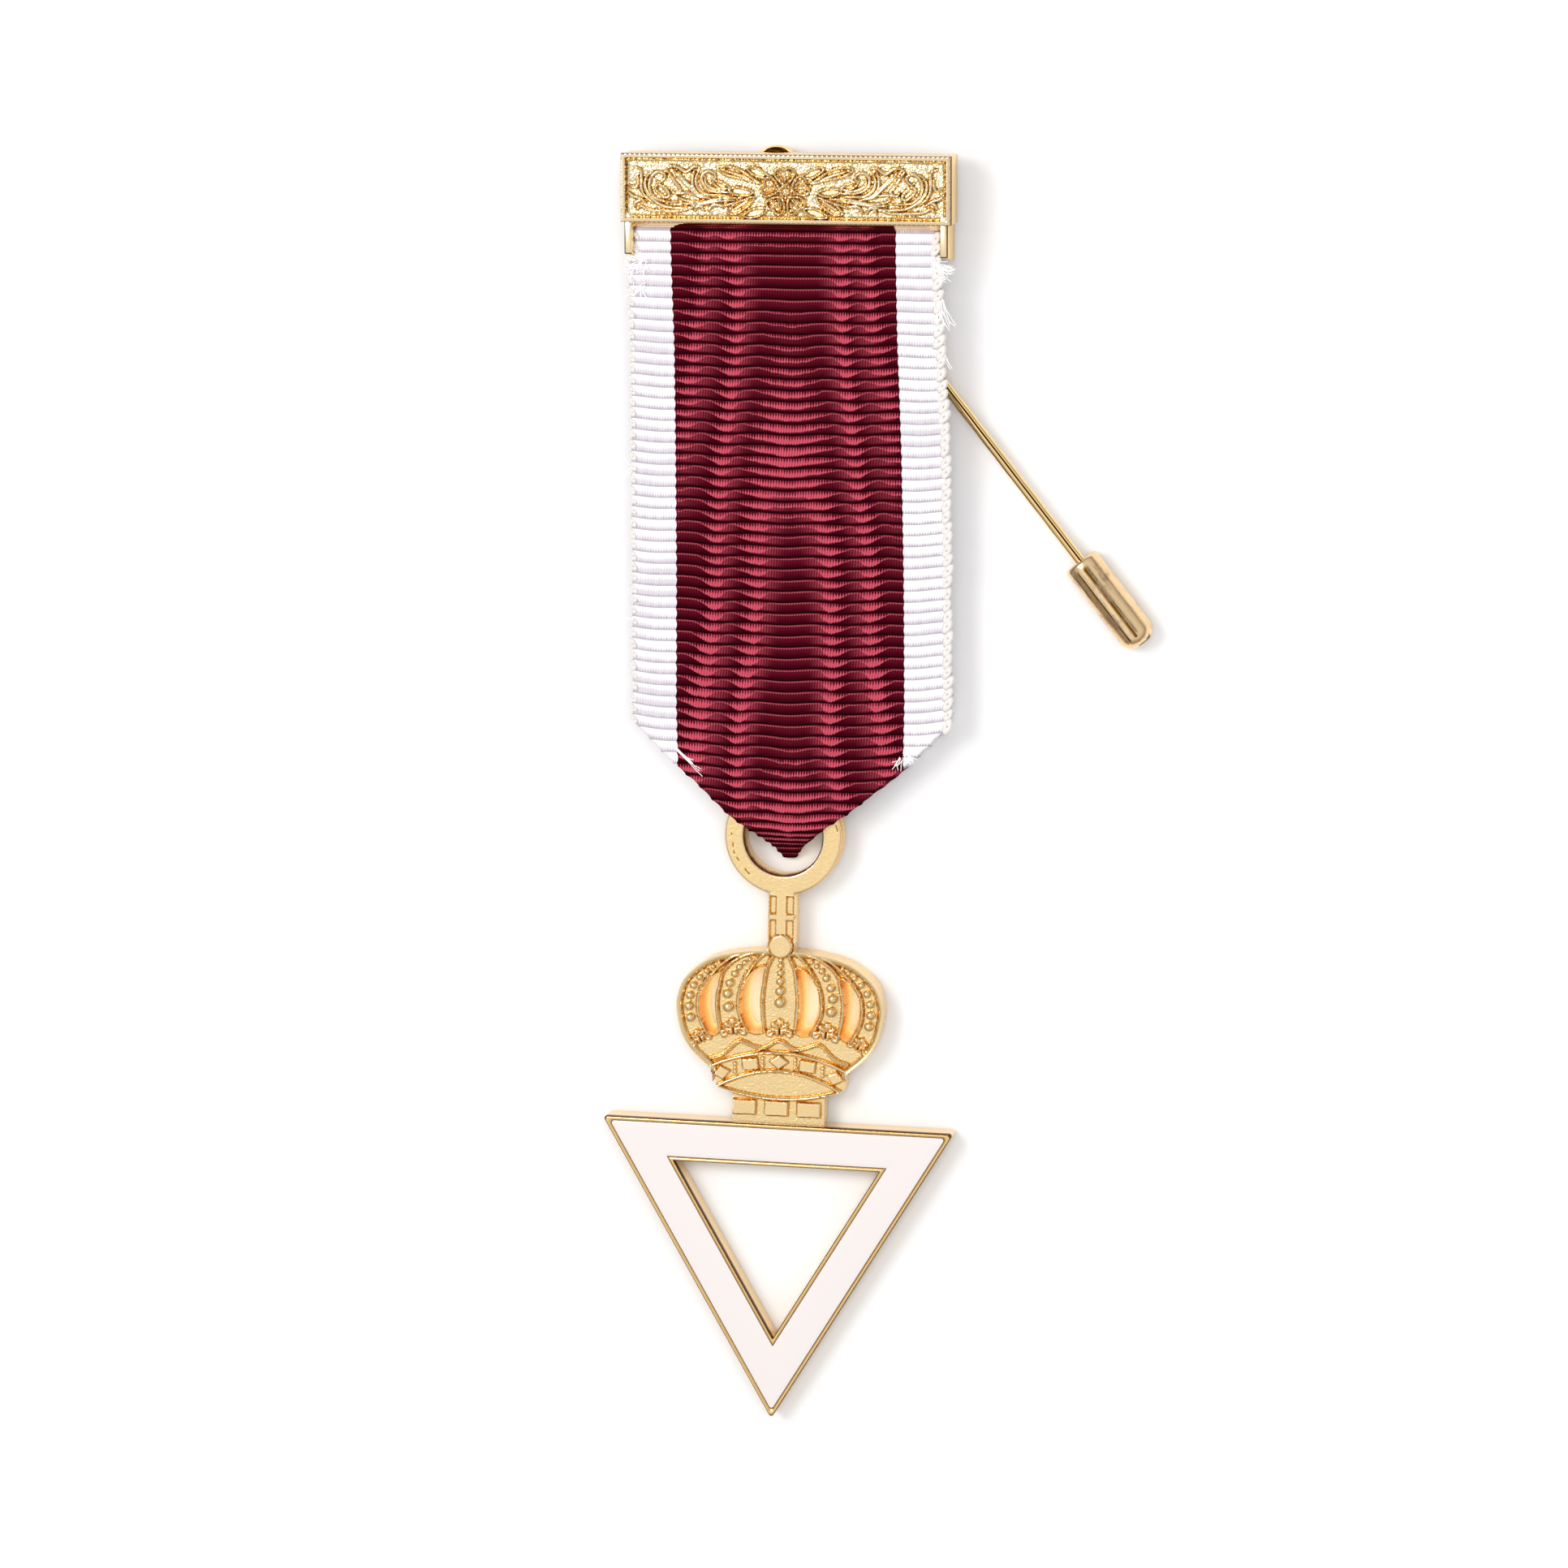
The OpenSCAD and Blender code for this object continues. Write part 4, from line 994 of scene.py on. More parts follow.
BAR_X = 1.8
BAR_HALF = 16.5
BAR_TOP_Y = 1.6
BAR_LOW_Y = -5.2
BAR_FRONT = 7.95
PANEL_Z = 7.5
PLATE_BACK = 6.75
BAR_BACK = 2.95
BORDER = 0.45
PANEL_HALF_W = BAR_HALF - BORDER
PANEL_HALF_H = (BAR_TOP_Y - BAR_LOW_Y) / 2 - BORDER
LEG_IN = 15.42
LEG_OUT = 16.22
LEG_SHAPE = [(BAR_LOW_Y + 0.9, 7.55), (-8.4, 7.55), (-9.0, BAR_BACK), (BAR_LOW_Y + 0.9, BAR_BACK)]
LIP_SHAPE = [(BAR_LOW_Y + 0.3, 7.75), (BAR_LOW_Y - 0.02, 7.75), (BAR_LOW_Y - 0.54, 7.04),
             (BAR_LOW_Y - 0.54, 6.85), (BAR_LOW_Y + 0.3, 6.8)]
RAIL_Y = -4.4
RAIL_Z = 5.07
RAIL_HALF = 0.45

# Half the size of the panel's drawing, and the scrollwork of its right half. Columns: place across and up
# from its middle.
PANEL_DRAWN = (137.5, 26)
SCROLLS = [
    [(92, -12), (102, -12), (110, -10), (115, -5), (117, 1), (116, 8), (112, 13), (108, 14), (104, 12),
     (104, 8), (108, 5), (111, 7)],
    [(78, -16), (87, -17), (96, -17), (106, -15), (114, -10), (119, -4), (121, 3), (119, 10), (114, 14)],
    [(114, -13), (121, -7), (124, 0), (124, 8), (124, 14), (126, 17), (130, 18)],
    [(127, 10), (127, 4), (129, 0), (134, 2)],
    [(136, -3), (132, -7), (126, -9), (120, -13)],
    [(130, -16), (128, -12), (125, -11)],
    [(128, -19), (124, -16), (118, -19), (106, -20), (92, -20), (80, -17)],
    [(102, 16), (98, 19), (92, 18), (86, 14), (82, 16), (78, 19), (73, 18)],
    [(102, 16), (98, 10), (94, 4), (90, -2), (95, -5), (98, -2)],
    [(96, 16), (90, 8), (82, 0), (76, -6), (70, -8)],
    [(92, 14), (86, 6), (78, -1)],
    [(112, 0), (108, 3), (102, -2), (100, -7), (104, -8), (109, -4), (112, 0)],
    [(78, 16), (80, 9), (79, 0), (73, -6), (64, -9)],
    [(75, 14), (77, 7), (75, 0), (69, -5), (60, -6), (48, -6)],
    [(48, -3), (60, -3), (68, 0), (72, 6), (71, 12), (66, 15), (61, 13), (60, 9), (64, 8)],
    [(52, -2), (62, 0), (68, 4), (69, 10)],
    [(92, -8), (84, -11), (72, -12), (62, -10), (52, -8), (42, -8)],
    [(88, -13), (78, -14), (68, -13), (58, -11), (44, -10)],
    [(78, -20), (76, -16), (72, -16), (70, -20)],
    [(66, -20), (64, -16), (60, -14), (52, -15), (44, -12)],
    [(92, -5), (86, -4), (80, -5)],
    [(52, 16), (40, 12), (30, 8)],
    [(44, -18), (38, -14), (32, -10)]]
LEAVES = [
    [(58, 18), (48, 19), (38, 16), (28, 9), (22, 5), (34, 8), (48, 11), (54, 14)],
    [(33, 18), (24, 18), (18, 14), (13, 10), (22, 10), (28, 13)],
    [(48, -1), (42, 1), (34, 0), (28, -3), (34, -6), (43, -5)],
    [(49, -21), (46, -16), (42, -12), (34, -9), (27, -7), (30, -13), (36, -18), (42, -22)],
    [(36, -24), (32, -20), (26, -17), (16, -17), (20, -22), (28, -25)],
    [(62, 7), (54, 5), (48, 1), (54, 0), (60, 3)]]
ROSE_DROP = -0.25
# A petal and the lines on it, in shares of the flower's size, along the petal and across it.
PETAL = [(0.30, 0), (0.52, 0.30), (0.80, 0.42), (0.98, 0.22), (0.92, 0), (0.98, -0.22), (0.80, -0.42),
         (0.52, -0.30)]
PETAL_LINES = [[(0.38, 0), (0.6, 0.02), (0.86, 0)], [(0.48, 0.1), (0.68, 0.2), (0.84, 0.24)],
               [(0.48, -0.1), (0.68, -0.2), (0.84, -0.24)]]


def panel(points):
    """Places on the drawing of the panel in millimetres from its middle."""
    wide, high = PANEL_DRAWN
    return np.array([(x * PANEL_HALF_W / wide, y * PANEL_HALF_H / high) for x, y in points])


def flower_height(z, q):
    """Raises the five petals, the ring of seeds and the bud at the panel's middle."""
    size = 0.8 * PANEL_HALF_H
    z = np.where(np.linalg.norm(q, axis=1) < size * 0.72, PANEL_Z, z)
    for i in range(5):
        turn = math.radians(92 + 72 * i)
        spin = np.array([[math.cos(turn), math.sin(turn)], [-math.sin(turn), math.cos(turn)]])
        petal = curve([(a * size, b * size) for a, b in PETAL], 6, closed=True) @ spin
        z = np.where(inside(q, petal), PANEL_Z + 0.09, z)
        z = ridge(z, q, petal, 0.27, 0.42, closed=True, base=PANEL_Z)
        for path in PETAL_LINES:
            line = curve([(a * size, b * size) for a, b in path], 5) @ spin
            z = ridge(z, q, line, 0.24, 0.3, taper=True, base=PANEL_Z)
    for k in range(12):
        a = math.radians(30 * k)
        z = bump_at(z, q, (0.6 * math.cos(a), 0.6 * math.sin(a)), 0.15, 0.22, PANEL_Z)
    return bump_at(z, q, (0, 0), 0.36, 0.24, PANEL_Z)


def bar_height(p, to_edge):
    """Height of the bar's cast front."""
    q = p - np.array([BAR_X, (BAR_TOP_Y + BAR_LOW_Y) / 2])
    border = BAR_FRONT - rounded(to_edge, 0.1) - rounded(np.maximum(BORDER - to_edge, 0), 0.08)
    inner_line = 0.1 * np.exp(-(((to_edge - BORDER - 0.26) / 0.05) ** 2))
    z = np.where(to_edge < BORDER, border, PANEL_Z) + inner_line
    for side in (1, -1):
        flip = np.array([side, 1])
        for path in SCROLLS:
            z = ridge(z, q, curve(panel(path), 6) * flip, 0.36, 0.34, taper=True, base=PANEL_Z)
        for path in LEAVES:
            leaf = curve(panel(path), 6, closed=True) * flip
            z = np.where(inside(q, leaf), np.maximum(z, PANEL_Z + 0.08), z)
            z = ridge(z, q, leaf, 0.26, 0.36, closed=True, base=PANEL_Z)
    grains = np.where(z < PANEL_Z + 0.02, 0.032, 0.006)
    z = flower_height(z, q - np.array([0, ROSE_DROP]))
    return np.where(to_edge > BORDER + 0.05, sandy(z, p, grains), z)


def paint_edges(plate, shaded_border_metal):
    """Gives the plate's raised border a darker copy of its gilding: painted shade."""
    plate.data.materials.append(shaded_border_metal.material)
    for face in plate.data.polygons:
        x, y, z = face.center / MM
        to_edge = min(BAR_HALF - abs(x - BAR_X), BAR_TOP_Y - y, y - BAR_LOW_Y)
        face.material_index = int(to_edge < BORDER - 0.03)


def paint_sides(piece, side_metal, edge_shade=None):
    """Gives a wall's outer sides their own gilding. A leg also gets painted shade on the bevelled edges round
    its front.
    """
    piece.data.materials.append(side_metal.material)
    if edge_shade:
        piece.data.materials.append(edge_shade.material)
    for face in piece.data.polygons:
        x, y, z = face.normal
        face.material_index = int(max(abs(x), y) > 0.8)
        outward = x * (face.center.x / MM - BAR_X)
        # The bevelled faces round a leg's front get painted shade.
        if edge_shade and 0.25 < z < 0.95 and (outward > 0.3 or y < -0.3):
            face.material_index = 2


def make_bar(metal, polished, mirror, side_metal, shaded_border_metal, edge_shade):
    """The cast plate, the walls and legs round its back, the lip, the ribbon's rail and the pin's lug."""
    left, right = BAR_X - BAR_HALF, BAR_X + BAR_HALF
    inner_left, inner_right = BAR_X - LEG_IN - 0.05, BAR_X + LEG_IN + 0.05
    outline = rectangle((left, BAR_LOW_Y), (right, BAR_TOP_Y))
    steps = [(0.08, (left - 1, BAR_LOW_Y - 1), (right + 1, BAR_TOP_Y + 1))]
    # The plate's outer edge and its walls get painted shade.
    plate = cast_plate("bar_plate", [outline], [], bar_height, PLATE_BACK, steps, np.array, metal, edge_shade=1.9)
    paint_edges(plate, shaded_border_metal)
    pieces = [plate]
    low, high = (left + 0.03, BAR_TOP_Y - 0.9, BAR_BACK), (right - 0.03, BAR_TOP_Y - 0.03, 6.95)
    pieces.append(box_piece("bar_wall_top", low, high, polished))
    paint_sides(pieces[-1], side_metal)
    for side, name in ((-1, "left"), (1, "right")):
        x = BAR_X + side * (BAR_HALF - 0.45)
        low, high = (x - 0.43, BAR_LOW_Y + 0.02, BAR_BACK), (x + 0.43, BAR_TOP_Y - 0.05, 6.9)
        pieces.append(box_piece("bar_wall_" + name, low, high, polished))
        paint_sides(pieces[-1], side_metal)
        x0, x1 = sorted((BAR_X + side * LEG_IN, BAR_X + side * LEG_OUT))
        pieces.append(extruded("bar_leg_" + name, LEG_SHAPE, x0, x1, polished, 0.13))
        paint_sides(pieces[-1], side_metal, edge_shade)
    pieces.append(extruded("bar_lip", LIP_SHAPE, inner_left, inner_right, mirror, 0.05))
    r = RAIL_HALF
    rows = [(inner_left, r * 0.8, r * 0.8), (inner_left + 0.06, r, r), (inner_right - 0.06, r, r),
            (inner_right, r * 0.8, r * 0.8)]
    verts, faces = tube(rows, 28)
    pieces.append(new_object("bar_rail", verts + np.array([0, RAIL_Y, RAIL_Z]), faces, polished, 40))
    pieces.append(box_piece("bar_lug", (-2.6, -2.5, BAR_BACK), (2.6, 1.15, 3.75), polished))
    return pieces


# The ribbon

RIBBON_X = 1.8
RIBBON_HALF = 16.0
RIBBON_LENGTH = 65.2
UNDER_BAR_Y = -9.0
SHOULDER_Y = -55.3
POINT_HIGH = 14.3
POINT_SIDE = 0.75
BACK_SHOW = 1.3
# Edges of the back layer from the ribbon's middle: round the rail, then left and right below the bar.
BACK_RAIL_HALF = 15.4
BACK_LEFT = -15.95
BACK_RIGHT = 15.0
CLOTH = 0.3
RIB = 1.11
RIB_HIGH = 0.15
FOLD_Y = -69.1
# The cloth's middle round the rail, from the rail's own middle.
RAIL_REACH = 1.37
CRIMSON_LEFT = -11.4
CRIMSON_RIGHT = 11.3
# Points a rib on the front and on the back.
FRONT_ROWS = 6
BACK_ROWS = 4
# Fall of the layers. Columns: share of the ribbon's length, height of the cloth's middle.
FRONT_FALL = [(0, 6.44), (0.12, 6.40), (0.35, 5.77), (0.62, 5.15), (0.84, 4.98), (0.94, 4.98)]
BACK_FALL = [(0, 3.70), (0.3, 3.50), (0.56, 3.30), (0.64, 2.75), (0.72, 1.20), (0.8, 0.17), (0.99, 0.16)]
# The pointed end. Columns: share of its height from the shoulder, share of the ribbon's half width.
POINT_EDGE = [(0, 1), (0.24, 0.755), (0.5, 0.47), (0.68, 0.275), (0.86, 0.12), (0.97, 0.055), (1, 0.03)]
# Edges of the cloth and of its crimson from the ribbon's middle. Columns: height on the jewel, left edge,
# left end of the crimson, right end of the crimson, right edge.
EDGES = np.array([(-60, -15.8, -11.4, 11.45, 15.8), (-53, -15.9, -11.55, 11.6, 15.85),
                  (-40, -15.85, -11.45, 11.55, 15.8), (-28, -15.8, -11.43, 11.38, 15.65),
                  (-17, -15.8, -11.47, 11.03, 15.15), (-9.3, -15.85, -11.7, 10.9, 14.85),
                  (-8.2, -15.35, -11.75, 10.88, 14.8), (-4, -15.3, -11.75, 10.88, 14.8)])
ACROSS = np.linspace(-RIBBON_HALF, RIBBON_HALF, 65)
# The rolled edge and the flap behind it. Columns: distance in from the edge, drop below the face, share of
# the flap.
EDGE_ROLL = [(0.36, 0, 0), (0.12, 0.03, 0), (0.03, 0.1, 0), (0, 0.2, 0), (0.03, 0.3, 0), (0.12, 0.38, 0.02),
             (0.3, 0.41, 0.3), (0.3, 0.42, 0.65), (0.3, 0.43, 1)]
FLAP = 2.6
FLAP_LEAST = 0.3


def half_widths(y, back):
    """The ribbon's edges left and right of its middle at a height, and how wide its folded flaps are."""
    share = np.clip((SHOULDER_Y - y) / POINT_HIGH, 0, 1)
    edge = curve(POINT_EDGE, 6)
    half = np.interp(share, edge[:, 0], edge[:, 1]) * RIBBON_HALF
    left, right = (np.interp(y, EDGES[:, 0], EDGES[:, k]) for k in (1, 4))
    if back:
        half = half + BACK_SHOW * np.sin(np.pi * np.minimum(share * 1.05, 1))
        if y > UNDER_BAR_Y:
            left, right = min(left, -BACK_RAIL_HALF), BACK_RAIL_HALF
        else:
            left, right = BACK_LEFT, max(right, BACK_RIGHT)
        left, right = left - half + RIBBON_HALF, right + half - RIBBON_HALF
    else:
        left, right = max(-half, left), min(half, right)
    shift = POINT_SIDE * share
    flap = np.clip((SHOULDER_Y - 0.4 - y) * 0.9, 0, FLAP)
    return left - shift, right - shift, np.minimum(flap, half * 0.8)


def ribbon_path():
    """The middle line of the cloth in (y, z), from the tip up the front, round the rail and down the back."""
    def layer(table):
        return curve([(RAIL_Y - share * RIBBON_LENGTH, z) for share, z in table], 10)

    def arc(y, z, radius, first, last, steps):
        turn = np.radians(np.linspace(first, last, steps))
        return np.column_stack([y + radius * np.cos(turn), z + radius * np.sin(turn)])

    front = layer(FRONT_FALL)[::-1]
    dip = curve([front[0], (-67.25, 3.40), (-68.68, 1.68), (-69.36, 0.72)], 8)[1:][::-1]
    back = layer(BACK_FALL)
    back[:, 1] = np.maximum(back[:, 1], 0.16)
    loop, fold = arc(RAIL_Y, RAIL_Z, RAIL_REACH, 88, -88, 25), arc(FOLD_Y, 0.5, 0.34, 262, 165, 9)
    return np.vstack([dip, front[:-1], loop, back[1:], fold])


def ribbon_rows():
    """Even rows along the closed path: y, z, outward direction, rib number and whether the row is behind.
    Also the path's length."""
    path = ribbon_path()
    ends = np.vstack([path, path[:1]])
    length = np.concatenate([[0], np.cumsum(np.linalg.norm(np.diff(ends, axis=0), axis=1))])
    whole = length[-1]
    ribs = round(whole / RIB)
    rail = length[np.argmax(path[:, 0])] / whole * ribs
    turn_rib = int(rail)
    marks = [k / FRONT_ROWS for k in range(turn_rib * FRONT_ROWS + 1)]
    marks += [turn_rib + 1 / FRONT_ROWS + k / BACK_ROWS for k in range((ribs - turn_rib) * BACK_ROWS)]
    marks = np.array([m for m in marks if m < ribs - 0.1])
    at = marks / ribs * whole

    def place(at):
        return np.column_stack([np.interp(at, length, ends[:, k]) for k in (0, 1)])

    step = 0.2
    run = place((at + step) % whole) - place((at - step) % whole)
    run /= np.linalg.norm(run, axis=1)[:, None]
    out = np.column_stack([-run[:, 1], run[:, 0]])
    y, z = place(at).T
    return y, z, out, marks, marks > rail, whole


def rolled_edge(edge, side, flap):
    """Places across the cloth and drops below its face, over the rolled edge to the flap's end."""
    if flap < FLAP_LEAST:
        return [(edge - side * d, drop) if k < 4 else (edge, 0.2) for k, (d, drop, _) in enumerate(EDGE_ROLL)]
    return [(edge - side * d - side * share * (flap - FLAP_LEAST), drop) for d, drop, share in EDGE_ROLL]


def cloth_row(left, right, flap):
    """One row across the band from flap to flap: place across, drop below the face, place along the cloth."""
    start = EDGE_ROLL[0][0]
    right_side, left_side = rolled_edge(right, 1, flap), rolled_edge(left, -1, flap)
    steps = [math.hypot(b[0] - a[0], b[1] - a[1]) for a, b in zip(right_side, right_side[1:])]
    reach = np.cumsum([0.0] + steps)
    tail_right = [(x, drop, right - start + far) for (x, drop), far in zip(right_side, reach)]
    tail_left = [(x, drop, left + start - far) for (x, drop), far in zip(left_side, reach)]
    return tail_left[::-1] + [(x, 0.0, x) for x in np.clip(ACROSS, left + start, right - start)] + tail_right


def ribbon_verts():
    """Points of the ribbon's closed band, their numbers for the silk, the faces and the band's length."""
    y, z, out, marks, behind, length = ribbon_rows()
    rng = random.Random(4)
    wander = [rng.uniform(-0.06, 0.06) for _ in range(400)]
    verts, across, rib, shine, crest, faces = [], [], [], [], [], []
    for r in range(len(y)):
        left, right, flap = half_widths(y[r], behind[r])
        phase = marks[r] % 1
        swell = 0.1 * (4 * phase * (1 - phase)) - 0.04 if y[r] > SHOULDER_Y - 1 else 0.0
        near_rail = math.hypot(y[r] - RAIL_Y, z[r] - RAIL_Z) < 2.6
        swell = 0.0 if near_rail else swell + wander[int(marks[r])]
        for x, drop, u in cloth_row(left - swell, right + swell, flap):
            hang = 0.0 if behind[r] else row_shift(x, y[r])
            verts.append((RIBBON_X + x, y[r] + hang - drop * out[r][0], z[r] - drop * out[r][1]))
            across.append(dyed(u, y[r]))
            rib.append(marks[r])
            lit, glow = shine_at(u, y[r])
            shine.append(glow)
            crest.append(lit)
    n = len(ACROSS) + 2 * len(EDGE_ROLL)
    rows = len(y)
    for r in range(rows):
        a, b = r * n, (r + 1) % rows * n
        faces += [(a + i, b + i, b + i + 1, a + i + 1) for i in range(n - 1)]
    return np.array(verts), {"across": across, "rib": rib, "shine": shine, "crest": crest}, faces, length


def within(share):
    """A share held between 0 and 1."""
    return min(max(share, 0.0), 1.0)


def dyed(u, y):
    """Place across the cloth, stretched so that the crimson always runs between its two marks."""
    first, last = (np.interp(y, EDGES[:, 0], EDGES[:, k]) for k in (2, 3))
    return u - (last - CRIMSON_RIGHT) * within((u - 4) / 6) - (first - CRIMSON_LEFT) * within((-u - 4) / 6)


# Painted sheen: the bright bands of the watered silk. Columns: height on the jewel, place across from the
# middle, half width, strength.
BANDS = [
    [(-4, -6.2, 2.0, 0.5), (-7, -5.7, 1.5, 0.75), (-12, -4.8, 1.2, 0.8), (-19, -5.3, 1.2, 0.85),
     (-28, -6.5, 1.3, 0.85), (-36, -7.2, 1.2, 0.85), (-44, -7.5, 1.2, 0.9), (-52, -8.8, 1.7, 1.0),
     (-60, -9.8, 1.8, 0.9)],
    [(-5, -8.0, 1.6, 0.55), (-11, -8.6, 1.3, 0.6), (-19, -9.5, 1.5, 0.75), (-26, -10.3, 1.5, 0.65),
     (-34, -11.6, 1.4, 0.3)],
    [(-15, 0.1, 1.5, 0.25), (-21, 0.1, 2.0, 0.65), (-25, 0.1, 2.8, 0.8), (-28, 0.0, 3.2, 0.95),
     (-31, 0.0, 3.0, 0.8), (-33.5, 0.0, 2.2, 0.45), (-36, 0.0, 1.6, 0.15)],
    [(-29, -1.4, 1.6, 0.4), (-32, -2.5, 1.9, 0.85), (-36, -3.1, 1.7, 0.85), (-42, -3.2, 1.4, 0.85),
     (-48, -3.9, 1.3, 1.0), (-54, -4.9, 1.2, 1.0), (-60, -5.4, 1.1, 0.85), (-63, -4.8, 1.4, 0.8)],
    [(-29, 1.2, 1.6, 0.4), (-32, 2.3, 1.9, 0.85), (-36, 3.6, 1.6, 0.85), (-42, 4.0, 1.3, 0.9),
     (-50, 4.1, 1.2, 1.0), (-56, 3.8, 1.2, 1.0), (-60, 4.5, 1.2, 0.85), (-63, 5.1, 1.5, 0.8)],
    [(-57, 0.1, 1.2, 0.2), (-61, 0.1, 2.6, 0.7), (-64, 0.1, 3.2, 1.0), (-67, -0.1, 3.0, 0.9)],
    [(-4, 5.0, 2.0, 0.5), (-7, 5.3, 1.4, 0.8), (-15, 5.3, 1.1, 0.85), (-23, 6.0, 1.2, 0.85),
     (-31, 6.8, 1.2, 0.85), (-39, 8.0, 1.2, 0.9), (-48, 8.1, 1.2, 1.0), (-56, 9.2, 1.5, 0.95),
     (-60, 9.8, 1.6, 0.8)],
    [(-5, 7.2, 1.3, 0.6), (-11, 8.1, 1.1, 0.8), (-16, 8.5, 1.3, 0.75), (-23, 9.9, 1.6, 0.7),
     (-31, 10.6, 1.6, 0.5), (-38, 11.6, 1.2, 0.2)],
    [(-4, 0.0, 6.0, 0.35), (-6, 0.0, 6.0, 0.45), (-9, 0.0, 5.0, 0.0)]]
# The side from which each band opens: 1 left, -1 right, 0 both.
BAND_WAYS = [1, 1, 0, 1, -1, 0, -1, -1, 0]
# How far past its ends a band fades out.
BAND_FADE = 3.0


def eased(share):
    """A share held between 0 and 1 that starts and ends gently."""
    share = within(share)
    return share * share * (3 - 2 * share)


def shine_at(u, y):
    """How far down a rib its lit flank reaches, and how bright the pressed silk beside it is."""
    crest, glow = 0.0, 0.0
    for way, band in zip(BAND_WAYS, BANDS):
        ys = [row[0] for row in band][::-1]
        where, wide, strong = (np.interp(y, ys, [row[k] for row in band][::-1]) for k in (1, 2, 3))
        strong = strong * within(1 - (ys[0] - y) / BAND_FADE) * within(1 - (y - ys[-1]) / BAND_FADE)
        t = (u - where) / wide * (way or 1)
        if way:
            crest = max(crest, 0.86 * strong * eased((t + 1.9) / 1.8) * eased((0.9 - t) / 0.7))
            glow = max(glow, strong * eased((t + 0.5) / 0.7) * eased((1.9 - t) / 1.7))
        else:
            crest = max(crest, 0.86 * strong * max(1 - (t / 1.6) ** 2, 0) ** 0.8)
            glow = max(glow, 0.4 * strong * math.exp(-t * t))
    return crest, glow


def row_shift(x, y):
    """How far a rib hangs below a straight line across the ribbon."""
    fade = within((UNDER_BAR_Y - y) / 8.0) * within((y + 68.0) / 4.0)
    sag = (0.15 + 0.7 * within(-y / 60.0) ** 2) * (1 - within(abs(x) / RIBBON_HALF) ** 2)
    ripple = 0.08 * math.cos(2 * math.pi * (x + 0.8 * math.sin(y / 9.0)) / 6.6)
    return -(sag + ripple) * fade


def make_ribbon(silk):
    """The ribbed cloth with its thickness, and its length along the band."""
    verts, values, faces, length = ribbon_verts()
    obj = new_object("ribbon_cloth", verts, faces, silk)
    add_values(obj, **values)
    band = bmesh.new()
    band.from_mesh(obj.data)
    bmesh.ops.remove_doubles(band, verts=band.verts, dist=0.002 * MM)
    bmesh.ops.dissolve_degenerate(band, edges=band.edges, dist=0.001 * MM)
    band.to_mesh(obj.data)
    band.free()
    grow_on(obj, rib_tree, silk)
    solid = obj.modifiers.new("cloth", "SOLIDIFY")
    solid.thickness, solid.offset = CLOTH * MM, 0.0
    make_plain(obj)
    obj.data.shade_smooth()
    return obj, length


def make_selvedge(thread):
    """The looped threads along both edges of the ribbon's front."""
    y, z, _, marks, behind, _ = ribbon_rows()
    rng = random.Random(11)
    spots, sizes, turns, tips = [], [], [], []
    for r in range(len(y)):
        if behind[r] or abs(marks[r] % 1 - 0.5) > 0.05 or y[r] < SHOULDER_Y or y[r] > -6.2:
            continue
        left, right, _ = half_widths(y[r], False)
        for side, edge, reach, big in ((-1, left, 0.08, 0.75), (1, right, 0.12, 1.2)):
            reach += rng.uniform(-0.06, 0.06)
            hang = row_shift(edge, y[r])
            spots.append((RIBBON_X + edge + reach, y[r] + hang + rng.uniform(-0.12, 0.12),
                          z[r] + rng.uniform(-0.08, 0.08)))
            sizes.append(big * rng.uniform(0.9, 1.15))
            turns.append(-side * math.radians(rng.uniform(18, 40)))
            tips.append(math.radians(rng.uniform(-12, 12)))
    return grown("ribbon_selvedge", spots, {"size": sizes, "turn": turns, "tip": tips}, loop_tree, thread)


# Frayed places. Columns: middle across and up the jewel, height, spread, length of a thread, threads, turn in
# degrees and how far single threads turn from it.
FRAYS = [(-12.5, -9.4, 6.8, 0.8, 1.9, 20, 200, 45), (-12.9, -11.2, 6.6, 0.8, 1.6, 10, 240, 45),
         (16.6, -9.3, 6.6, 0.45, 2.0, 30, -20, 25), (17.0, -12.6, 6.3, 0.45, 3.2, 20, -84, 14),
         (17.2, -16.8, 6.0, 0.35, 3.0, 8, -84, 10), (-9.7, -58.1, 5.15, 0.16, 2.4, 6, -42, 6),
         (-8.6, -59.2, 5.1, 0.14, 2.0, 4, -40, 7), (13.0, -58.5, 5.15, 0.3, 1.1, 9, -122, 22),
         (13.5, -58.2, 5.15, 0.3, 1.3, 8, -50, 14), (-14.0, -30.0, 5.8, 0.5, 1.6, 3, 170, 40),
         (-14.1, -45.0, 5.3, 0.5, 1.4, 3, 190, 40)]
THREAD_STEPS = 8


def make_frays(thread):
    """Loose threads where the cloth is frayed from wear."""
    rng = random.Random(23)
    verts, edges = [], []
    for x, y, z, spread, long, count, turn, stray in FRAYS:
        for _ in range(count):
            at = np.array([x + rng.uniform(-spread, spread), y + rng.uniform(-spread, spread),
                           z + rng.uniform(-0.1, 0.35)])
            way = math.radians(turn + rng.uniform(-stray, stray))
            bend = rng.uniform(-0.02, 0.02) * stray
            first = len(verts)
            for k in range(THREAD_STEPS + 1):
                verts.append(tuple(at))
                step = np.array([math.cos(way), math.sin(way), rng.uniform(-0.12, 0.1)])
                at = at + step * long * rng.uniform(0.6, 1.2) / THREAD_STEPS
                way += bend / 4 + rng.uniform(-0.12, 0.12)
            edges += [(first + k, first + k + 1) for k in range(THREAD_STEPS)]
    obj = grow_on(new_object("ribbon_frays", verts, edges=edges), strand_tree, thread)
    obj.data.shade_smooth()
    return obj


# Silk

STRAND = 0.27
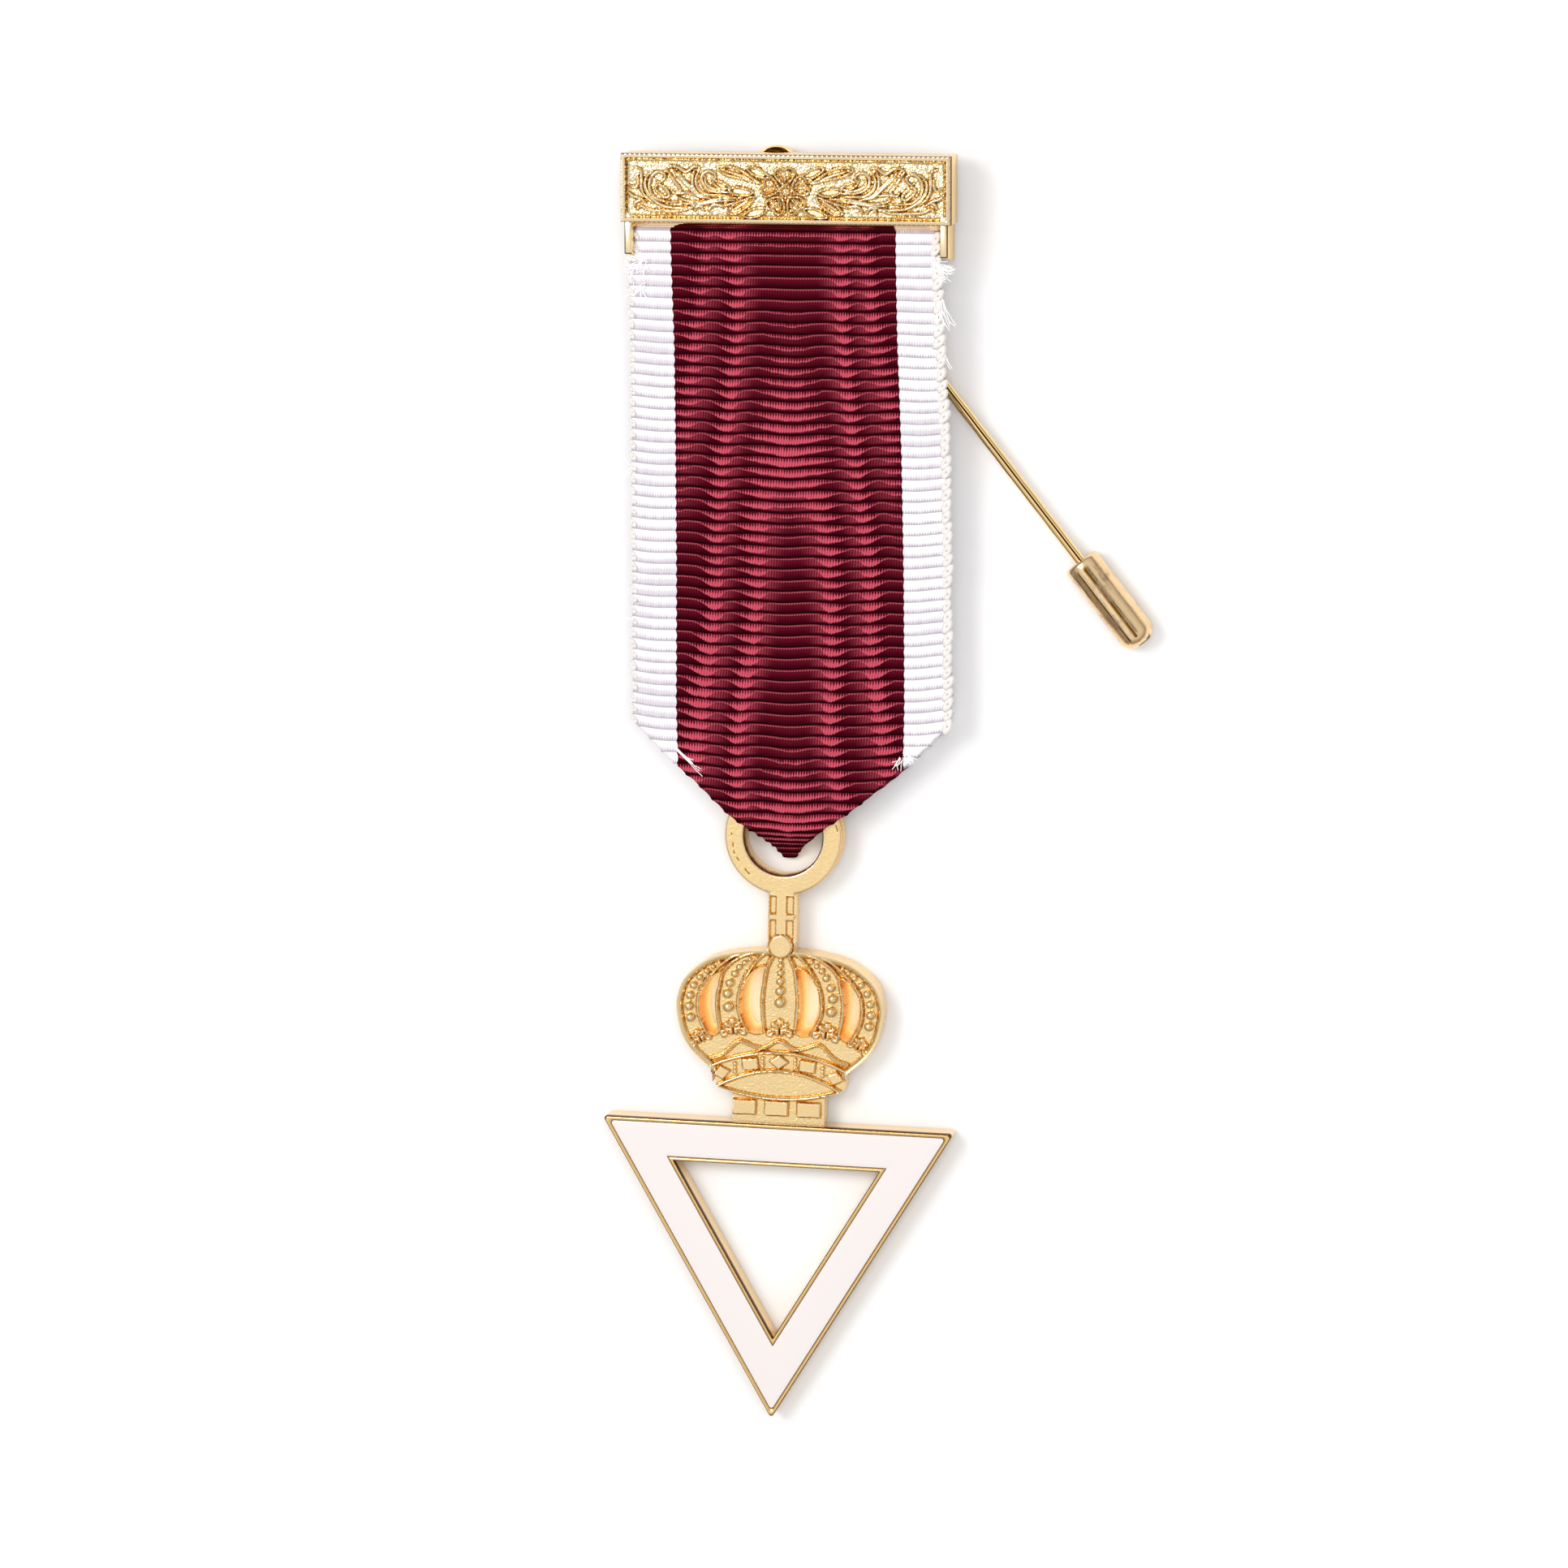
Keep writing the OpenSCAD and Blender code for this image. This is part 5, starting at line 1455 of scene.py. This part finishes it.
# Silk tones: shaded, mid and lit crimson, a painted highlight on each rib's rim, painted shade in the gaps
# between ribs, and white with its painted shade and its gaps' painted shade.
CRIMSON_DARK, CRIMSON_BODY, CRIMSON_LIT = tone("#36000B"), tone("#74162B"), tone("#CA5063")
CRIMSON_RIM, CRIMSON_GAP = tone("#C35C69"), tone("#1A0004")
WHITE, WHITE_SHADE, WHITE_GAP = (0.86, 0.85, 0.86), tone("#CBC3CC"), tone("#A39DA5")


def over_cloth(f, across, rib, wide, long):
    """Slow uneven values over the cloth."""
    at = f.add("ShaderNodeCombineXYZ", X=f.times(across, wide), Y=f.times(rib, long))
    return f.noise(at, 1.0, dimensions="2D")


def crimson_silk(f, across, rib, down, strand, luck):
    """Watered silk: each rib lit above and dark below, in bands that follow the cloth's shine and crest."""
    shine, crest = f.read("shine"), f.read("crest")
    fine = f.line(over_cloth(f, across, rib, 0.8, 0.5), 0.3, -0.15)
    crest = f.line(f.eased(crest, 0.0, 0.25), fine, crest)
    comb = f.line(strand, -0.42, 0.42)
    comb = f.line(f.minus(luck, 0.5), 0.14, comb)
    below_comb = f.eased(f.minus(down, comb), 0.0, 0.07)
    edge = f.line(strand, 0.05, crest)
    wedge = f.times(below_comb, f.eased(f.minus(edge, down), -0.03, 0.05))
    wedge = f.times(wedge, f.line(strand, 0.5, 0.58))
    # Painted sheen of the pressed silk in the bright bands.
    pressed = f.times(shine, f.line(strand, 0.85, 0.06))
    flank = f.times(f.eased(down, 0.9, 0.68), f.eased(down, 0.02, 0.12))
    pressed = f.times(f.times(pressed, flank), 0.8)
    # A painted highlight along each rib's rim.
    line_at = f.line(strand, 0.06, f.math("MAXIMUM", crest, 0.04))
    rim = f.eased(f.math("ABSOLUTE", f.minus(down, line_at)), 0.07, 0.03)
    rim = f.times(rim, f.line(strand, 0.7, 0.2))
    rim = f.times(rim, f.line(shine, -0.6, 1.0))
    # Each rib painted lit above and shaded below.
    body = f.times(f.line(strand, 0.5, 0.2), f.eased(down, 0.9, 0.1))
    body = f.times(body, f.line(f.eased(crest, 0.05, 0.5), -0.5, 1.0))
    red = f.mix(body, CRIMSON_DARK, CRIMSON_BODY)
    red = f.mix(f.math("MAXIMUM", wedge, pressed), red, CRIMSON_LIT)
    red = f.mix(f.times(rim, 0.8), red, CRIMSON_RIM)
    # Painted shade in the gaps between ribs.
    gap = f.minus(down, f.line(shine, 0.06, 0.84))
    return f.mix(f.eased(gap, 0.0, 0.1), red, CRIMSON_GAP)


def white_silk(f, across, rib, down, strand, luck):
    """The white borders: ribs with painted shade on their grey undersides and darker painted shade in the
    gaps between them.
    """
    tooth = f.line(strand, -0.14, f.line(luck, 0.08, down))
    # Less painted shade towards the right border.
    slow = f.line(across, 0.004, over_cloth(f, across, rib, 0.1, 0.16))
    grey = f.line(strand, -0.16, tooth)
    grey = f.minus(grey, f.line(slow, 0.9, 0.1))
    white = f.mix(f.times(f.eased(grey, -0.12, 0.12), 0.85), WHITE, WHITE_SHADE)
    return f.mix(f.times(f.eased(tooth, 0.80, 0.90), 0.7), white, WHITE_GAP)


def woven(name):
    """Ribbed silk: crimson between white borders, with the strands slanting across each rib."""
    f = Finish(name, (0.3, 0.02, 0.05), roughness=0.8, specular_ior_level=0.03)
    across, rib = f.read("across"), f.read("rib")
    down = f.minus(1.0, f.math("FRACT", rib))
    lean = f.line(down, 0.45, f.times(across, 1 / STRAND))
    strand = f.math("ABSOLUTE", f.line(f.math("FRACT", lean), 2.0, -1.0))
    spot = f.add("ShaderNodeCombineXYZ", X=f.math("FLOOR", lean), Y=f.math("FLOOR", rib))
    luck = f.add("ShaderNodeTexWhiteNoise", 0, {"noise_dimensions": "2D"}, Vector=spot)
    bulge = f.times(f.math("SINE", f.times(down, math.pi)), 0.1)
    to_left = f.minus(f.math("ADD", across, 0.05 - CRIMSON_LEFT), bulge)
    to_right = f.minus(f.minus(0.05 + CRIMSON_RIGHT, bulge), across)
    crimson = f.eased(f.math("MINIMUM", to_left, to_right), -0.03, 0.03)
    weave = across, rib, down, strand, luck
    f.give(base_color=f.mix(crimson, white_silk(f, *weave), crimson_silk(f, *weave)))
    return f


# The pin

PIN_Z = 2.1
PIN_TURN = 38.3
WIRE_HALF = 0.53
WIRE_LONG = 57.5
WIRE_STEPS = 28
EYE_HALF = 2.2
EYE_THICK = 0.96
EYE_STEPS = 72
HOLE_HALF = 1.25
GUARD_HALF = 1.88
GUARD_LONG = 10.35
GUARD_FROM = 49.3
GUARD_END = 1.45
GUARD_STEPS = 56
# Painted reflection round the guard's tube: dark and pale bands along it. Columns: step of its steps round,
# darkness (below 0 paler).
GUARD_REFLECTION = [(0, 0.3), (4, 0.05), (11, 0.05), (12, 0.3), (13, 1.2), (14, 0.8), (15, -0.5), (16, -0.5),
              (17, 1.3), (18, 0.6), (25, 0.5), (27, 0.15), (28, 0.55), (40, 0.3)]


def along_pin(points):
    """Points given along the pin's axis, across it and up, in the jewel's frame."""
    turn = math.radians(PIN_TURN - 90)
    p = np.asarray(points, float)
    x = p[:, 0] * math.cos(turn) - p[:, 1] * math.sin(turn)
    y = p[:, 0] * math.sin(turn) + p[:, 1] * math.cos(turn)
    return np.column_stack([x, y, p[:, 2] + PIN_Z])


def make_pin(brass):
    """The pin's flattened eye with the groove round it, and the wire down to its point."""
    half, thick = EYE_HALF, EYE_THICK / 2
    rim = [(HOLE_HALF, -thick), (half - 0.1, -thick), (half, -thick + 0.1), (half, thick - 0.12),
           (half - 0.09, thick), (half - 0.2, thick), (half - 0.25, thick - 0.3), (half - 0.42, thick - 0.3),
           (half - 0.47, thick - 0.06), (HOLE_HALF + 0.05, thick - 0.06), (HOLE_HALF, thick - 0.12)]
    turn = np.linspace(0, 2 * math.pi, EYE_STEPS, endpoint=False)
    eye = np.array([(r * math.cos(t), r * math.sin(t), z) for r, z in rim for t in turn])
    # Painted shade in the groove round the eye.
    groove = np.repeat([1.6 if 5 <= j <= 8 else 0.0 for j in range(len(rim))], EYE_STEPS)
    w = WIRE_HALF
    rows = [(1.75, 1.05, 0.4), (2.2, 0.95, 0.42), (3.2, 0.72, 0.46), (4.4, w, w * 0.98)]
    for x in np.arange(5.0, 53.4, 0.8):
        rows.append((x, w + 0.012 * math.sin(x * 1.7), w + 0.012 * math.cos(x * 1.3)))
    rows += [(53.5, w, w), (55.5, 0.35, 0.35), (57.0, 0.16, 0.16), (WIRE_LONG, 0.05, 0.05)]
    wire, wire_faces = tube(rows, WIRE_STEPS)
    faces = skin(len(rim), EYE_STEPS, closed=True)
    faces += [tuple(len(eye) + i for i in face) for face in wire_faces]
    obj = new_object("pin_wire", along_pin(np.vstack([eye, wire])), faces, brass, 40)
    # A painted dark reflection: a line along one side of the wire.
    line = np.where(np.arange(len(wire)) % WIRE_STEPS == 6, 2.4, 0.0)
    add_values(obj, hollow=np.concatenate([groove, line]))
    return obj


def make_guard(brass):
    """The brass guard that closes the pin's point."""
    r, long, end = GUARD_HALF, GUARD_LONG, GUARD_END
    outside = [(0.75, 0.62), (0.2, 0.7), (0.03, 0.95), (0.0, 1.35)]
    outside += [(0.05, r - 0.22), (0.16, r - 0.08), (0.36, r)]
    outside += [(x, r + 0.012 * math.sin(x * 2.1)) for x in np.arange(1.0, long - 1.6, 0.55)]
    turns = np.linspace(0.12, math.pi / 2, 9)[:-1]
    outside += [(long - end + end * math.sin(a), r - end + end * math.cos(a)) for a in turns]
    rows = [(8.0, 0.56, 0.56)] + [(x, a, a) for x, a in outside] + [(long, 0.04, 0.04)]
    verts, faces = tube(rows, GUARD_STEPS)
    obj = new_object("pin_guard_tube", along_pin(verts + np.array([GUARD_FROM, 0, 0])), faces, brass, 50)
    x, side, high = verts.T
    # Painted reflection: dark and pale bands along the tube, by their step round it.
    wear_and_reflection = np.interp(np.arange(len(verts)) % GUARD_STEPS, *zip(*GUARD_REFLECTION))
    # A darker patch near the rounded end.
    dark_end_patch = (x > long - 0.75) & (np.abs(side - 0.35) < 0.75) & (high < 0.95) & (high > 0.1)
    # Painted shade inside the open mouth.
    mouth = (x < 0.3) & (np.hypot(side, high) < 1.2)
    along = (x > 0.4) & (x < long - 1.0)
    add_values(obj, hollow=np.where(dark_end_patch | mouth, 1.6, np.where(along, wear_and_reflection, 0.0)))
    return obj


def brassy(name, colour, dull, roughness, scratch, tarnish):
    """Brass drawn along the pin: fine scratches along it and brown tarnish in patches."""
    f = gilt(name, colour, tone("#A8742C"), tone("#2E1C0A"), roughness, 0.004, 0.3)
    turned = f.add("ShaderNodeMapping", Vector=f.place(), Rotation=(0, 0, math.radians(90 - PIN_TURN)))
    drawn = f.add("ShaderNodeMapping", Vector=turned, Scale=(160, 5200, 5200))
    lines = f.noise(drawn, 1.0, 3.0, 0.6)
    patch = f.noise(turned, 520.0, 4.0, 0.65)
    old = f.shader.inputs["Base Color"].links[0].from_socket
    share = f.line(lines, 0.5, patch)
    share = f.ramp(share, 0.95 - tarnish * 0.3, 1.15 - tarnish * 0.3, 0.0, 0.85)
    bump = f.add("ShaderNodeBump", Height=lines, Strength=0.6, Distance=scratch * MM)
    f.give(base_color=f.mix(share, old, dull), normal=bump,
           roughness=f.ramp(patch, 0.3, 0.7, roughness * 0.7, roughness * 1.6))
    return f


# The jewel put together

# Painted shade colours of hollows in the gilding: warm, and deep in the sharpest.
WARM, DEEP = tone("#D08C30"), tone("#4A2A08")
pendant_gilt = gilt("pendant_gilding", (0.92, 0.68, 0.34), tone("#DC9C40"), tone("#5E360C"), 0.28, 0.035, 0.8,
                    (0.45, 1.0), (0.9, 1.3))
bead_gilt = gilt("bead_gilding", (0.96, 0.71, 0.36), WARM, DEEP, 0.27, 0.01, 0.3)
line_gilt = gilt("line_gilding", (0.92, 0.64, 0.28), WARM, DEEP, 0.14, 0.01, 0.9)
bar_gilt = gilt("bar_gilding", (0.90, 0.745, 0.455), tone("#CC9238"), tone("#45260A"), 0.2, 0.04, 2.2,
                (0.32, 0.85), (0.8, 1.2))
polish = gilt("polished_gilding", (0.98, 0.78, 0.48), tone("#EE9C33"), tone("#6B3A0A"), 0.24, 0.003, 0.2)
lip_mirror = gilt("lip_gilding", (0.95, 0.70, 0.42), WARM, DEEP, 0.07, 0.001, 0.1)
side_gilt = gilt("side_gilding", (1.0, 0.77, 0.43), WARM, DEEP, 0.2, 0.004, 0.3)
side_gilt.give(specular_tint=(1.0, 0.9, 0.7))
# A darker copy of the gilding for the bar's raised border: painted shade.
shaded_border_gilt = gilt("shaded_border_gilding", (0.74, 0.575, 0.35), WARM, DEEP, 0.14, 0.002, 0.3)
# Near-black gilding for the painted shade on the legs' bevelled front edges.
edge_shade_gilt = gilt("edge_shade_gilding", (0.16, 0.10, 0.04), tone("#A06A20"), tone("#3A2106"), 0.3, 0.002, 0.3)
enamel_glaze = Finish("enamel_glaze", (0.80, 0.745, 0.72), roughness=0.12)
wire_brass = brassy("wire_brass", (1.0, 0.71, 0.33), (0.55, 0.34, 0.12), 0.06, 0.006, 0.3)
guard_brass = brassy("guard_brass", (0.93, 0.68, 0.38), (0.43, 0.29, 0.17), 0.17, 0.03, 0.7)
ribbon_silk = woven("ribbon_silk")
cream_thread = Finish("cream_thread", (0.80, 0.765, 0.74), roughness=0.7, specular_ior_level=0.2)
# Painted glow: a faint emission that stands in for light through the thin threads.
loose_thread = Finish("loose_thread", (0.92, 0.90, 0.90), roughness=0.8, emission_color=(1.0, 0.98, 0.98),
                      emission_strength=0.16)


def put_on(pieces, body, node):
    """Finished pieces take the place of a node of the frame and move with its body."""
    for piece in pieces:
        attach(piece, body)
        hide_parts(node)


put_on(make_pendant(pendant_gilt, bead_gilt, line_gilt), "jewel", "pendant")
put_on([make_enamel(enamel_glaze)], "jewel", "enamel")
put_on(make_bar(bar_gilt, polish, lip_mirror, side_gilt, shaded_border_gilt, edge_shade_gilt), "jewel", "bar")
put_on([make_pin(wire_brass)], "pin", "pin")
put_on([make_guard(guard_brass)], "guard", "pin_guard")
rivet = bpy.data.objects["pin_rivet"]
rivet.data.materials.clear()
rivet.data.materials.append(wire_brass.material)
put_on([make_selvedge(cream_thread), make_frays(loose_thread)], "jewel", "ribbon")
cloth, cloth_length = make_ribbon(ribbon_silk)
put_on([cloth], "jewel", "ribbon")

bpy.context.scene.view_settings.view_transform = "Standard"
make_table()
make_lights()
make_room()
make_camera()
